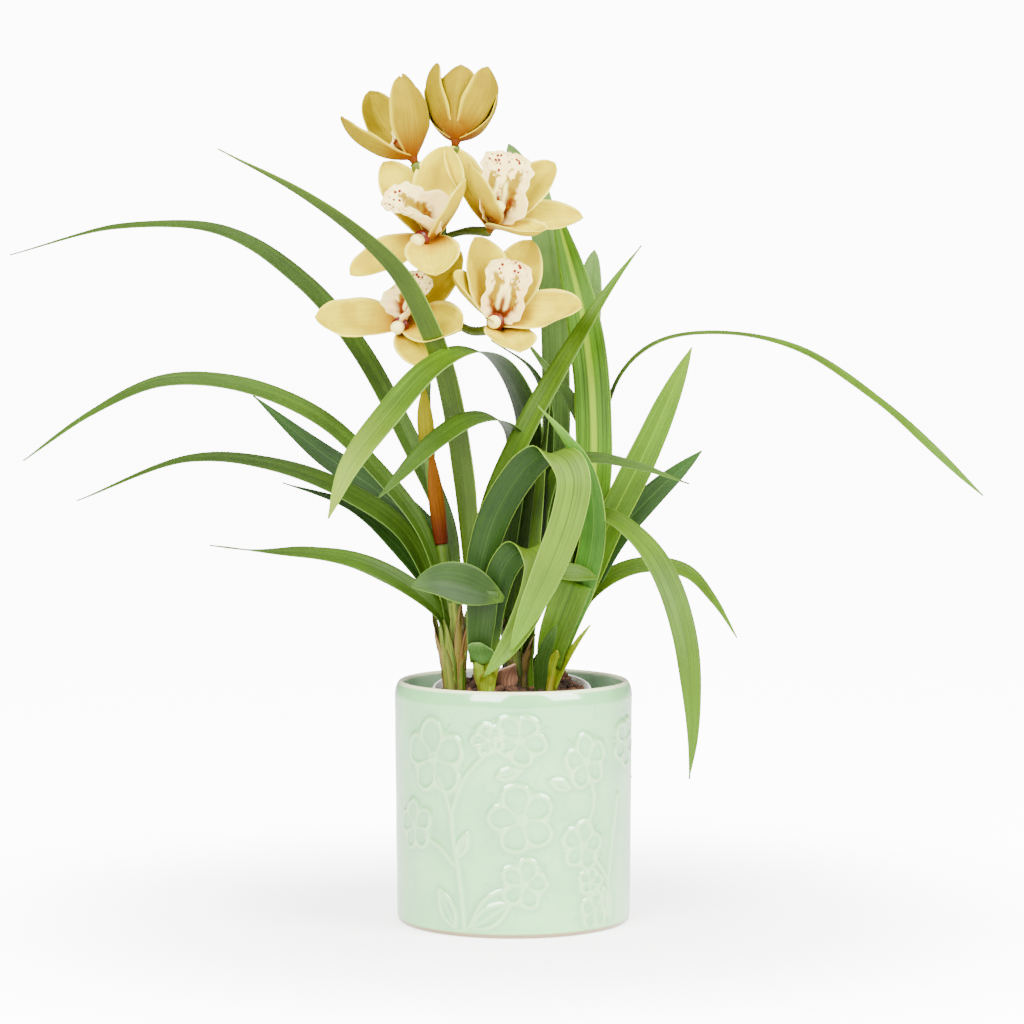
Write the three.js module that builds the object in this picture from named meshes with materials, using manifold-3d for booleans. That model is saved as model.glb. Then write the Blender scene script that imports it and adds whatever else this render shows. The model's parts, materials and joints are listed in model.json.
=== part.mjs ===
// A potted cymbidium orchid: a glazed ceramic pot with raised flower sprigs, a plastic nursery pot
// with bark inside it, four growths with strap leaves, and one flower stem with six blooms.
// Millimetres, +Z up. The origin is the centre of the pot's underside, and -Y is the front.
import * as THREE from 'three';
import { mergeVertices } from 'three/addons/utils/BufferGeometryUtils.js';
import Module from 'manifold-3d';

const wasm = await Module();
wasm.setup();

// ---- driving dimensions ----
const gap = 0.3; // clearance between neighbouring pieces
const flatness = 0.045; // facets closer to flat than this are merged
const bladeThickness = 0.8; // leaves
const tepalThickness = 0.9; // petals and sepals

const pot = {
  height: 152,
  rimRadius: 75,
  footRadius: 73.6,
  wall: 6,
  floor: 6,
  footBevel: 2,
  segments: 32,
};
const relief = { proud: 1.0, crown: 1.8, sunk: 1.6, stemRadius: 1.2 };

const nursery = {
  rimRadius: 50,
  footRadius: 38,
  wall: 1.2,
  tilt: 8, // degrees towards the front
  rimCentre: [-1, 0, 147],
  segments: 20,
};
const bark = { below: 5, crown: 4, chips: 7, chip: [18, 11, 6], seed: 5 };

const bloomSize = { tepal: 56, tepalWidth: 32, lip: 38, lipWidth: 36, column: 18, columnRadius: 3.6 };

// ---- finishes ----
function finish(color, roughness) {
  return new THREE.MeshStandardMaterial({ color, roughness, metalness: 0 });
}
const celadon = () => finish(0xc4dbbd, 0.15);
const whitePlastic = () => finish(0xf0f0ec, 0.45);
const barkBrown = () => finish(0x5a3524, 0.9);
const sheathGreen = () => finish(0x8f9a3c, 0.6);
const stemGreen = () => finish(0x8a9a35, 0.5);
const leafGreen = () => finish(0x5f8c2a, 0.45);
const paperBrown = () => finish(0x9a7458, 0.8);
const bractYellow = () => finish(0xd8ce2a, 0.6);
const bractOrange = () => finish(0xc8702c, 0.6);
const petalYellow = () => finish(0xf4d468, 0.5);
const lipCream = () => finish(0xfbf0e2, 0.5);
const columnCream = () => finish(0xf4ebc0, 0.4);

// ---- small helpers ----
const up = new THREE.Vector3(0, 0, 1);
const radians = THREE.MathUtils.degToRad;
const mix = THREE.MathUtils.lerp;

function point(p) {
  return new THREE.Vector3(p[0], p[1], p[2]);
}

function randomFrom(seed) {
  let state = seed;
  return () => {
    state = (state * 1664525 + 1013904223) % 4294967296;
    return state / 4294967296;
  };
}

// A value from a list of values spread evenly over 0 to 1.
function spread(values, u) {
  const place = THREE.MathUtils.clamp(u, 0, 1) * (values.length - 1);
  const low = Math.min(Math.floor(place), values.length - 2);
  const step = THREE.MathUtils.smoothstep(place - low, 0, 1);
  return values.length < 2 ? values[0] : mix(values[low], values[low + 1], step);
}

function solidFrom(positions, triangles) {
  return new wasm.Manifold(new wasm.Mesh({
    numProp: 3,
    vertProperties: new Float32Array(positions.flatMap((p) => [p.x, p.y, p.z])),
    triVerts: new Uint32Array(triangles.flat()),
  }));
}

function solidOf(geometry) {
  const bare = geometry.clone();
  bare.deleteAttribute('normal');
  bare.deleteAttribute('uv');
  const merged = mergeVertices(bare, 1e-4);
  return new wasm.Manifold(new wasm.Mesh({
    numProp: 3,
    vertProperties: new Float32Array(merged.attributes.position.array),
    triVerts: new Uint32Array(merged.index.array),
  }));
}

function geometryOf(solid) {
  const mesh = solid.getMesh();
  const geometry = new THREE.BufferGeometry();
  geometry.setAttribute('position', new THREE.BufferAttribute(mesh.vertProperties, 3));
  geometry.setIndex(new THREE.BufferAttribute(mesh.triVerts, 1));
  geometry.computeVertexNormals();
  return geometry;
}

function join(solids) {
  return wasm.Manifold.union(solids);
}

function largest(solid) {
  return solid.decompose().reduce((a, b) => (a.volume() > b.volume() ? a : b));
}

// ---- thin sheets: rows of points, given a thickness, and grown on every side ----
function sheet(rows, blade, grow = 0) {
  const thickness = blade + 2 * grow;
  [[0, 1], [rows.length - 1, rows.length - 2]].forEach(([end, next]) => rows[end].forEach((p, j) => {
    p.addScaledVector(p.clone().sub(rows[next][j]).normalize(), grow);
  }));
  const across = rows[0].length;
  const count = rows.length * across;
  const at = (i, j) => i * across + j;
  const tops = [];
  const bottoms = [];
  rows.forEach((row, i) => row.forEach((p, j) => {
    const before = rows[Math.max(i - 1, 0)][j];
    const after = rows[Math.min(i + 1, rows.length - 1)][j];
    const along = after.clone().sub(before);
    const over = row[Math.min(j + 1, across - 1)].clone().sub(row[Math.max(j - 1, 0)]);
    const normal = along.cross(over).normalize().multiplyScalar(thickness / 2);
    tops.push(p.clone().add(normal));
    bottoms.push(p.clone().sub(normal));
  }));
  const triangles = [];
  const quad = (a, b, c, d) => triangles.push([a, b, c], [a, c, d]);
  for (let i = 0; i < rows.length - 1; i += 1) {
    for (let j = 0; j < across - 1; j += 1) {
      const [a, b, c, d] = [at(i, j), at(i + 1, j), at(i + 1, j + 1), at(i, j + 1)];
      quad(a, b, c, d);
      triangles.push([a + count, c + count, b + count], [a + count, d + count, c + count]);
    }
    const [a, b] = [at(i, 0), at(i + 1, 0)];
    quad(a, a + count, b + count, b);
    const [c, d] = [at(i, across - 1), at(i + 1, across - 1)];
    quad(c, d, d + count, c + count);
  }
  for (let j = 0; j < across - 1; j += 1) {
    const [a, b] = [at(0, j), at(0, j + 1)];
    quad(a, b, b + count, a + count);
    const [c, d] = [at(rows.length - 1, j), at(rows.length - 1, j + 1)];
    quad(c, c + count, d + count, d);
  }
  return solidFrom([...tops, ...bottoms], triangles);
}

// How wide a blade is, as a share of its full width, at u from 0 at the root to 1 at the tip.
function taper(u, { root, full, hold, power, round }) {
  const rise = mix(root, 1, Math.sin(Math.min(u / full, 1) * Math.PI / 2));
  const t = Math.max(0, (u - hold) / (1 - hold));
  return rise * (1 - t ** power) ** round;
}

// ---- round bodies: rings along a path ----
function loft(path, radii, sides, steps, grow = 0, flute = 0) {
  const curve = new THREE.CatmullRomCurve3(path.map(point), false, 'centripetal');
  const frames = curve.computeFrenetFrames(steps, false);
  const positions = [];
  for (let i = 0; i <= steps; i += 1) {
    const beyond = (i === steps) - (i === 0);
    const centre = curve.getPointAt(i / steps).addScaledVector(frames.tangents[i], beyond * grow);
    const radius = spread(radii, i / steps) + grow;
    for (let j = 0; j < sides; j += 1) {
      const angle = (j / sides) * 2 * Math.PI;
      const reach = radius * (1 - flute * (j % 2));
      const offset = frames.normals[i].clone().multiplyScalar(Math.cos(angle) * reach)
        .addScaledVector(frames.binormals[i], Math.sin(angle) * reach);
      positions.push(centre.clone().add(offset));
    }
  }
  const triangles = [];
  for (let i = 0; i < steps; i += 1) {
    for (let j = 0; j < sides; j += 1) {
      const [a, b] = [i * sides + j, i * sides + ((j + 1) % sides)];
      triangles.push([a, b, b + sides], [a, b + sides, a + sides]);
    }
  }
  for (let j = 1; j < sides - 1; j += 1) {
    triangles.push([0, j + 1, j]);
    const last = steps * sides;
    triangles.push([last, last + j, last + j + 1]);
  }
  return solidFrom(positions, triangles);
}

// ---- the ceramic pot ----
function potWallRadius(z) {
  return mix(pot.footRadius, pot.rimRadius, z / pot.height);
}

function potBody() {
  const inner = pot.rimRadius - pot.wall;
  const { height, footBevel, floor } = pot;
  const profile = [
    [0, 0],
    [pot.footRadius - 3.5, 0],
    [pot.footRadius - 0.8, footBevel * 0.4],
    [pot.footRadius, footBevel + 0.6],
    [potWallRadius(height - 7), height - 7],
    [pot.rimRadius, height - 3],
    [pot.rimRadius - 1, height - 0.8],
    [pot.rimRadius - 3, height],
    [pot.rimRadius - 5, height - 1],
    [inner, height - 4],
    [inner - 1, floor + 5],
    [inner - 5, floor],
    [0, floor],
  ];
  const points = profile.map(([r, z]) => new THREE.Vector2(r, z));
  return new THREE.LatheGeometry(points, pot.segments).rotateX(Math.PI / 2);
}

// A place on the outside of the wall: degrees from the front, height, and how far it stands out.
function wallPoint(angle, z, lift) {
  const radius = potWallRadius(z) + lift;
  return new THREE.Vector3(radius * Math.sin(radians(angle)), -radius * Math.cos(radians(angle)), z);
}

// A pad with the given outline round its middle, x along the wall and y up it.
function raisedPad(outline, angle, height) {
  const bend = THREE.MathUtils.radToDeg(1 / pot.rimRadius);
  const count = outline.length;
  const ring = (lift) => outline.map(([x, y]) => wallPoint(angle + x * bend, height + y, lift));
  const middle = (lift) => {
    const [x, y] = [0, 1].map((k) => outline.reduce((sum, p) => sum + p[k], 0) / count);
    return wallPoint(angle + x * bend, height + y, lift);
  };
  const { proud, sunk, crown } = relief;
  const positions = [...ring(proud), ...ring(-sunk), middle(crown), middle(-sunk)];
  const triangles = [];
  for (let i = 0; i < count; i += 1) {
    const next = (i + 1) % count;
    triangles.push([i, next, 2 * count], [next + count, i + count, 2 * count + 1]);
    triangles.push([i, i + count, next + count], [i, next + count, next]);
  }
  return solidFrom(positions, triangles);
}

function turned(outline, size, turn) {
  const [c, s] = [Math.cos(radians(turn)), Math.sin(radians(turn))];
  return outline.map(([a, b]) => [size * (a * c - b * s), size * (a * s + b * c)]);
}

// Five rounded lobes with deep notches between them.
function flowerOutline() {
  const lobe = [[0.34, -36], [0.96, -17], [0.96, 17]];
  return Array.from({ length: 5 }, (_, k) => lobe.map(([reach, side]) => {
    const around = radians(72 * k + side);
    return [reach * Math.cos(around), reach * Math.sin(around)];
  })).flat();
}

const leafOutline = [[0, 0], [0.35, -0.18], [0.72, -0.15], [1, 0], [0.72, 0.15], [0.35, 0.18]];

// Raised ornament of one half of the wall: [angle from the front, height, size, turn].
const sprigFlowers = [
  [-41, 110, 23, 95], [-2, 127, 22, 130], [4, 74, 21, 105], [37, 108, 16, 100],
  [35, 56, 15, 80], [5, 34, 15, 75], [-55, 66, 16, 100], [68, 116, 15, 60],
  [43, 15, 12, 90], [39, 35, 8, 80],
];
const sprigLeaves = [
  [-29, 6, 26, 118], [-20, 6, 30, 34], [-8, 100, 16, 15], [28, 92, 15, 160],
  [-27, 50, 16, 68], [52, 10, 20, 105],
];
const sprigStems = [
  [[-24, 4], [-26, 30], [-30, 62], [-31, 76]],
  [[-31, 76], [-34, 88], [-38, 98]],
  [[-31, 76], [-24, 98], [-10, 118]],
  [[-29, 44], [-37, 54], [-46, 60]],
  [[-22, 6], [-14, 24], [-2, 32]],
  [[40, 96], [42, 84], [38, 68]],
  [[54, 8], [53, 26], [50, 36], [42, 48]],
  [[52, 32], [56, 60], [60, 84]],
];

function ceramicPot() {
  const raised = [];
  [0, 180].forEach((half) => {
    sprigFlowers.forEach(([angle, height, size, turn]) => {
      raised.push(raisedPad(turned(flowerOutline(), size, turn), half + angle, height));
    });
    sprigLeaves.forEach(([angle, height, length, turn]) => {
      raised.push(raisedPad(turned(leafOutline, length, turn), half + angle, height));
    });
    sprigStems.forEach((line) => {
      const path = line.map(([angle, z]) => wallPoint(half + angle, z, 0).toArray());
      raised.push(loft(path, [relief.stemRadius], 3, Math.max(line.length - 2, 1)));
    });
  });
  return join([solidOf(potBody()), ...raised]);
}

// ---- the nursery pot and the bark in it ----
const nurseryFoot = (() => {
  const lean = radians(nursery.tilt);
  const low = pot.floor + gap + nursery.footRadius * Math.sin(lean);
  const length = (nursery.rimCentre[2] - low) / Math.cos(lean);
  return { length, centre: [nursery.rimCentre[0], nursery.rimCentre[1] + length * Math.sin(lean), low] };
})();

function leanForward(solid) {
  return solid.rotate([nursery.tilt, 0, 0]).translate(nurseryFoot.centre);
}

function nurseryPot() {
  const { rimRadius, footRadius, wall, segments } = nursery;
  const { length } = nurseryFoot;
  const profile = [
    [0, 0],
    [footRadius, 0],
    [rimRadius - 2.5, length - 9],
    [rimRadius, length - 9],
    [rimRadius, length],
    [rimRadius - 1.6, length],
    [rimRadius - 2.5 - wall, length - 11],
    [footRadius - wall, wall],
    [0, wall],
  ];
  const points = profile.map(([r, z]) => new THREE.Vector2(r, z));
  return leanForward(solidOf(new THREE.LatheGeometry(points, segments).rotateX(Math.PI / 2)));
}

function barkHeight(radius) {
  const edge = nursery.rimRadius - 4;
  return nurseryFoot.length - bark.below + bark.crown * (1 - (radius / edge) ** 2);
}

function barkMound() {
  const { rimRadius, footRadius, wall, segments } = nursery;
  const { length } = nurseryFoot;
  const edge = rimRadius - 2.5 - wall - gap;
  const profile = [
    [0, wall + gap],
    [footRadius - wall - gap, wall + gap],
    [edge, length - 11],
    [edge - 0.2, length - bark.below - 1],
    [edge * 0.66, barkHeight(edge * 0.66)],
    [edge * 0.33, barkHeight(edge * 0.33)],
    [0, barkHeight(0)],
  ];
  const points = profile.map(([r, z]) => new THREE.Vector2(r, z));
  const random = randomFrom(bark.seed);
  const chips = Array.from({ length: bark.chips }, (_, k) => {
    const radius = (edge - 7) * Math.sqrt((k + 0.5) / bark.chips);
    const angle = k * 2.4;
    const size = bark.chip.map((side) => side * (0.75 + 0.5 * random()));
    const chip = new THREE.BoxGeometry(...size);
    chip.rotateX((random() - 0.5) * 1.1);
    chip.rotateY((random() - 0.5) * 1.1);
    chip.rotateZ(random() * Math.PI);
    chip.translate(radius * Math.cos(angle), radius * Math.sin(angle), barkHeight(radius) + 0.6);
    return solidOf(chip);
  });
  const mound = solidOf(new THREE.LatheGeometry(points, segments).rotateX(Math.PI / 2));
  return leanForward(join([mound, ...chips]));
}

// ---- growths: a slim pseudobulb wrapped in leaf-base sheaths ----
const growths = {
  left: { path: [[-37, 2, 136], [-37, 2, 150], [-38, 2, 178], [-40, 3, 200]],
    radii: [5.6, 6.8, 7.8, 5], sheaths: 4, reach: 46 },
  front: { path: [[-17, -14, 136], [-17, -14, 150], [-17, -14, 172], [-17, -14, 188]],
    radii: [4.4, 5.2, 6.6, 4], sheaths: 2, reach: 30 },
  middle: { path: [[2, 8, 136], [2, 8, 150], [2, 8, 166], [3, 8, 182]],
    radii: [7, 8.6, 8.6, 5], sheaths: 3, reach: 26 },
  right: { path: [[21, -4, 136], [22, -4, 150], [26, -3, 172], [29, -2, 186]],
    radii: [4.6, 5.6, 6.6, 4], sheaths: 2, reach: 28 },
};

function growth({ path, radii, sheaths, reach }, grow) {
  const [foot, top] = [point(path[1]), point(path[path.length - 1])];
  const axis = top.clone().sub(foot).normalize();
  const parts = [loft(path, radii, 8, 4, grow, 0.14)];
  for (let k = 0; k < sheaths; k += 1) {
    const turn = (k / sheaths) * 2 * Math.PI + 3.6;
    const outward = new THREE.Vector3(Math.cos(turn), Math.sin(turn), 0);
    const side = axis.clone().cross(outward).normalize();
    const rows = [0, 0.45, 0.8, 1].map((u) => {
      const ring = spread(radii, 0.3 + 0.7 * u) * 0.94 + 1.6 * u * u;
      const height = 2 + reach * (1 - 0.12 * k) * u;
      const middle = foot.clone().addScaledVector(axis, height).addScaledVector(outward, ring);
      const half = 5.2 * taper(u, { root: 0.8, full: 0.3, hold: 0.4, power: 2, round: 1 }) + 0.5 + grow;
      return [-1, 1].map((s) => middle.clone().addScaledVector(side, s * half));
    });
    parts.push(sheet(rows, bladeThickness, grow));
  }
  return join(parts);
}

// ---- leaves ----
// path: root to tip. turn: roll of the blade in degrees, spread along it. heading: the way it leans.
// folded: the part of a leaf beyond a sharp fold, a second blade joined to the first.
const strap = { root: 0.36, full: 0.35, hold: 0.45, power: 1.9, round: 1 };
const long = { root: 0.4, full: 0.3, hold: 0.3, power: 1.4, round: 1 };
const late = { root: 0.4, full: 0.8, hold: 0.85, power: 1.8, round: 0.8 };
const broad = { root: 0.36, full: 0.35, hold: 0.6, power: 2, round: 1 };
const hang = { root: 0.4, full: 0.35, hold: 0.68, power: 2.8, round: 0.9 };
const blade = { root: 0.5, full: 0.4, hold: 0.58, power: 2.3, round: 0.85 };
const slim = { root: 0.6, full: 0.3, hold: 0.35, power: 1.6, round: 1 };
const blunt = { root: 0.4, full: 0.35, hold: 0.6, power: 2.4, round: 0.8 };
const open = { root: 0.65, full: 0.9, hold: 0.9, power: 2, round: 0 };
const tongue = { root: 0.12, full: 0.45, hold: 0.45, power: 2, round: 0.9 };
const round = { root: 0.55, full: 0.35, hold: 0.85, power: 3, round: 0.7 };

const leaves = [
  { name: 'leaf_fold_front', width: 21, shape: hang, turn: [0, 0, 0, -5, -10], heading: -90,
    path: [[-18, -17, 171], [-22, -18, 201], [-21, -20, 223], [-16, -23, 244], [-10, -26, 260],
      [-1, -30, 276], [10, -35, 290], [22, -42, 297], [32, -50, 293], [37, -55, 281], [34, -57, 261],
      [27, -58, 240], [18, -58, 218], [9, -57, 199], [-2, -56, 175]] },
  { name: 'leaf_short_fold_left', width: 19, shape: open, turn: [-90, -90], heading: 180,
    path: [[-21, -20, 165], [-21, -24, 179], [-20, -28, 193], [-19, -33, 211]],
    folded: { width: 26, shape: tongue, turn: [-75, -75], heading: 180,
      path: [[-6, -31, 205], [-17, -34, 210], [-30, -38, 215], [-46, -44, 218], [-63, -50, 215]] } },
  { name: 'leaf_tip_behind_fold', width: 19, shape: blade, turn: [0, 0, 0],
    path: [[-14, -14, 170], [-14, -18, 190], [-11, -23, 209], [-6, -28, 225], [3, -33, 236],
      [12, -40, 237], [16, -46, 230], [14, -49, 214], [7, -51, 196], [-4, -52, 177], [-18, -52, 159]] },
  { name: 'leaf_diagonal_right', width: 16, shape: strap, turn: [50, 40, 40], heading: 20,
    path: [[-18, -12, 178], [-21, -13, 219], [-12, -16, 266], [8, -19, 312], [37, -16, 363],
      [61, -10, 400], [80, -4, 425]] },
  { name: 'leaf_arch_front_left', width: 21, shape: hang, turn: [0, 0, -10, -30],
    path: [[-1, 8, 170], [2, 12, 214], [8, 12, 278], [8, 0, 319], [-9, -28, 353], [-28, -50, 360],
      [-50, -72, 350], [-76, -94, 321], [-98, -110, 291], [-110, -118, 261]] },
  { name: 'leaf_arch_low_left', width: 18, shape: blade, turn: [0, 0, -20, -35],
    path: [[-4, 12, 170], [-6, 16, 221], [-1, 12, 272], [2, -4, 303], [-9, -26, 317], [-26, -48, 318],
      [-49, -70, 304], [-81, -94, 272]] },
  { name: 'leaf_tall_left', width: 15, shape: long, turn: [30, 30, 35, 30],
    path: [[-24, -12, 178], [-27, -17, 231], [-31, -26, 280], [-41, -44, 342], [-51, -54, 372],
      [-66, -66, 402], [-84, -78, 423], [-121, -94, 451], [-175, -112, 480]] },
  { name: 'leaf_long_left_top', width: 17, shape: long, turn: [-30, -20, -10, -10],
    path: [[-38, 4, 176], [-38, 6, 208], [-42, 10, 246], [-68, 22, 305], [-96, 36, 356], [-136, 56, 404],
      [-189, 74, 436], [-259, 92, 439], [-331, 104, 421]] },
  { name: 'leaf_long_left_upper', width: 18, shape: long, turn: [-40, -35, -25, -15],
    path: [[-40, -2, 177], [-45, -4, 209], [-58, -8, 248], [-86, -14, 285], [-119, -22, 317],
      [-167, -34, 338], [-216, -46, 341], [-258, -56, 322], [-299, -64, 293]] },
  { name: 'leaf_dark_left', width: 18, shape: strap, turn: [-75, -75, -75],
    path: [[-39, 6, 179], [-43, 12, 220], [-58, 20, 246], [-87, 26, 270], [-123, 34, 294], [-167, 44, 330]] },
  { name: 'leaf_long_left_lower', width: 15, shape: long, turn: [-50, -40, -20, -20],
    path: [[-42, 2, 177], [-48, 2, 202], [-69, 2, 245], [-107, 4, 271], [-154, 8, 288], [-205, 12, 291],
      [-277, 18, 264]] },
  { name: 'leaf_thin_left', width: 12, shape: long, turn: [-42, -32, -22],
    path: [[-42, 6, 176], [-49, 8, 202], [-73, 12, 234], [-103, 18, 260], [-147, 26, 275]] },
  { name: 'leaf_low_left', width: 16, shape: long, turn: [-50, -50, -30, 20],
    path: [[-42, -4, 171], [-45, -8, 192], [-66, -14, 212], [-96, -24, 228], [-125, -32, 234],
      [-156, -40, 236], [-187, -46, 240]] },
  { name: 'leaf_short_middle', width: 14, shape: strap, turn: [-60, -60], heading: 90,
    path: [[4, 0, 170], [10, -4, 202], [15, -6, 253], [19, -4, 297], [23, 0, 327]] },
  { name: 'leaf_thin_arch', width: 10, shape: strap, turn: [0, 0, 0],
    path: [[2, 12, 176], [13, 16, 226], [21, 16, 283], [21, 14, 327], [11, 10, 348], [-14, -4, 366]] },
  { name: 'leaf_tall_back', width: 18, shape: round, turn: [0, 0, 0], heading: 90,
    path: [[5, 14, 176], [17, 24, 226], [26, 30, 289], [27, 34, 353], [23, 38, 416], [12, 44, 464],
      [3, 48, 477], [-3, 52, 491]] },
  { name: 'leaf_diagonal_back', width: 13, shape: strap, turn: [-60, -60, -60],
    path: [[8, 14, 176], [31, 26, 238], [50, 24, 293], [38, 22, 326], [21, 20, 348], [5, 18, 369]] },
  { name: 'leaf_tall_right', width: 23, shape: blade, turn: [0, 0, 0], heading: 90,
    path: [[24, 2, 170], [37, 4, 215], [49, 6, 265], [50, 10, 328], [43, 16, 385], [25, 32, 454]] },
  { name: 'leaf_hooked_back', width: 15, shape: round, turn: [0, 0, 0], heading: 90,
    path: [[28, 6, 173], [46, 18, 239], [51, 28, 315], [48, 34, 372], [49, 38, 391], [50, 42, 409],
      [52, 45, 423]] },
  { name: 'leaf_long_right', width: 9, shape: late, turn: [10, 10, 10, 40, 65],
    path: [[27, 8, 173], [40, 14, 239], [54, 20, 302], [69, 28, 345], [94, 36, 365], [136, 44, 370],
      [185, 54, 359], [238, 64, 325], [306, 74, 264]] },
  { name: 'leaf_bright_right', width: 19, shape: blade, turn: [80, 80, 80],
    path: [[25, -2, 168], [40, 0, 202], [60, 4, 249], [83, 10, 295], [113, 20, 361]] },
  { name: 'leaf_dark_right', width: 16, shape: blade, turn: [75, 75, 75],
    path: [[27, 2, 170], [43, 8, 203], [63, 14, 239], [88, 20, 267], [120, 30, 295]] },
  { name: 'leaf_level_right', width: 13, shape: strap, turn: [45, 45, 45],
    path: [[12, -1, 142], [11, 0, 171], [16, 0, 221], [21, -6, 266], [30, -14, 288], [49, -20, 293],
      [80, -24, 287], [109, -28, 277]] },
  { name: 'leaf_drooping_right', width: 17, shape: broad, turn: [40, 40, 14, 35, 45, 45],
    path: [[25, -3, 168], [31, -4, 196], [36, -4, 228], [41, -6, 248], [51, -10, 257], [66, -22, 253],
      [83, -36, 238], [96, -48, 215], [105, -55, 185], [109, -60, 153], [110, -61, 123],
      [108, -61, 97]] },
  { name: 'leaf_low_right', width: 14, shape: blade, turn: [50, 40, 30],
    path: [[28, 0, 167], [40, 4, 196], [59, 10, 215], [82, 14, 223], [110, 16, 219], [127, 16, 201],
      [142, 14, 177]] },
  { name: 'leaf_stub_right', width: 23, shape: open, turn: [-90, -90], heading: 180,
    path: [[22, -11, 161], [25, -15, 178], [31, -18, 196], [38, -21, 215]],
    folded: { width: 12, shape: tongue, turn: [-60, -60], heading: 180,
      path: [[52, -22, 218], [42, -25, 221], [30, -28, 222], [18, -30, 220]] } },
  { name: 'leaf_broad_right', width: 17, shape: slim, turn: [0, 10, 20], heading: -110,
    path: [[27, -8, 165], [34, -12, 188], [42, -15, 210], [48, -19, 233], [50, -24, 255], [48, -31, 274],
      [43, -38, 290], [34, -43, 304], [25, -47, 315], [15, -50, 326]] },
  { name: 'leaf_collar_front', width: 16, shape: blunt, turn: [0, 0], heading: -100,
    path: [[-19, -22, 164], [-20, -25, 170], [-21, -28, 174], [-20, -31, 178]] },
  { name: 'leaf_short_dark', width: 9, shape: blunt, turn: [0, 0], heading: -80,
    path: [[17, -12, 140], [17, -15, 152], [18, -20, 166], [22, -25, 178], [27, -28, 189]] },
  { name: 'leaf_shoot_right', width: 9, shape: strap, turn: [40, 40],
    path: [[26, -9, 146], [31, -12, 160], [39, -16, 175], [48, -18, 188]] },
  { name: 'scale_brown_middle', width: 13, shape: blunt, turn: [0, 0], heading: -90,
    path: [[-4, -4, 144], [-4, -8, 155], [1, -12, 163]] },
];

// Places along a path: every control point, and more between points that lie far apart.
function stations(curve, count, stride) {
  const places = [0];
  for (let i = 0; i < count - 1; i += 1) {
    const [from, to] = [i / (count - 1), (i + 1) / (count - 1)];
    const parts = Math.max(1, Math.round(curve.getPoint(from).distanceTo(curve.getPoint(to)) / stride));
    for (let k = 1; k <= parts; k += 1) places.push(mix(from, to, k / parts));
  }
  return places;
}

function bladeRows({ path, width, shape, turn, heading }, grow) {
  const curve = new THREE.CatmullRomCurve3(path.map(point), false, 'centripetal');
  const places = stations(curve, Math.min(path.length, 10), 46);
  const lean = heading === undefined
    ? curve.getPointAt(1).sub(curve.getPointAt(0)).setZ(0).normalize()
    : new THREE.Vector3(Math.cos(radians(heading)), Math.sin(radians(heading)), 0);
  const level = up.clone().cross(lean);
  const centres = places.map((t) => curve.getPoint(t));
  const reach = [0];
  centres.slice(1).forEach((p, i) => reach.push(reach[i] + p.distanceTo(centres[i])));
  return places.map((t, i) => {
    const u = reach[i] / reach[reach.length - 1];
    const along = curve.getTangent(t);
    const side = level.clone().addScaledVector(along, -level.dot(along)).normalize();
    side.applyAxisAngle(along, radians(spread(turn, u)));
    const face = along.clone().cross(side);
    const half = Math.max((width / 2) * taper(u, shape), 0.5) + grow;
    const fold = mix(0.45, 0.14, Math.min(u / 0.4, 1)) * half;
    const centre = centres[i].addScaledVector(face, -fold / 2);
    return [-1, 0, 1].map((s) => centre.clone().addScaledVector(side, s * half)
      .addScaledVector(face, Math.abs(s) * fold));
  });
}

function leaf(entry, grow) {
  const blades = entry.folded ? [entry, entry.folded] : [entry];
  return join(blades.map((each) => sheet(bladeRows(each, grow), bladeThickness, grow)));
}

// ---- blooms ----
// faces: [bearing, rise] of the bloom's axis in degrees, bearing -90 being the front.
// tepals: [place round that axis, lean away from it], sepals and petals by turns.
// curve: how much the lean changes from the root to the tip of every tepal. column, lip: place and leans.
const openCurve = [-8, 6, -6];
const blooms = [
  { name: 'bloom_top_right', centre: [-36, -2, 491], faces: [60, 78], size: 0.92,
    lip: { place: 290, size: 0.55, leans: [8, 10, 16, 26, 40] }, column: { place: 110, leans: [26, 8, -24] },
    curve: [42, 0, -42], tepals: [[112, 12], [172, 22], [232, 24], [48, 20], [345, 24]] },
  { name: 'bloom_top_left', centre: [-63, -8, 480], faces: [160, 64], size: 0.95,
    lip: { place: 160, size: 0.55, leans: [8, 10, 16, 26, 40] }, column: { place: 340, leans: [26, 8, -24] },
    curve: [29, 1, -29], tepals: [[55, 24], [112, 16], [294, 34], [235, 12], [165, 24]] },
  { name: 'bloom_upper_left', centre: [-51, -12, 429], faces: [-95, 50], size: 1,
    lip: { place: 172, size: 1, leans: [24, 36, 50, 62, 76] }, column: { place: 240, leans: [64, 70, 70] },
    curve: openCurve, tepals: [[135, 49], [76, 42], [345, 26], [278, 76], [212, 94]] },
  { name: 'bloom_upper_right', centre: [-14, -6, 437], faces: [-64, 52], size: 1,
    lip: { place: 72, size: 1.15, leans: [14, 20, 28, 40, 60] }, column: { place: 250, leans: [24, 6, -10] },
    curve: openCurve, tepals: [[278, 56], [192, 32], [124, 54], [341, 71], [20, 45]] },
  { name: 'bloom_lower_right', centre: [-10, -14, 376], faces: [-76, 44], size: 1,
    lip: { place: 72, size: 1, leans: [18, 24, 34, 46, 66] }, column: { place: 240, leans: [50, 50, 44] },
    curve: openCurve, tepals: [[182, 38], [122, 36], [59, 46], [340, 56], [272, 60]] },
  { name: 'bloom_lower_left', centre: [-67, -12, 376], faces: [-106, 38], size: 1,
    lip: { place: 52, size: 0.82, leans: [30, 42, 56, 66, 82] }, column: { place: 270, leans: [54, 50, 44] },
    curve: openCurve, tepals: [[187, 74], [100, 112], [51, 68], [333, 66], [305, 74]] },
];

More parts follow.
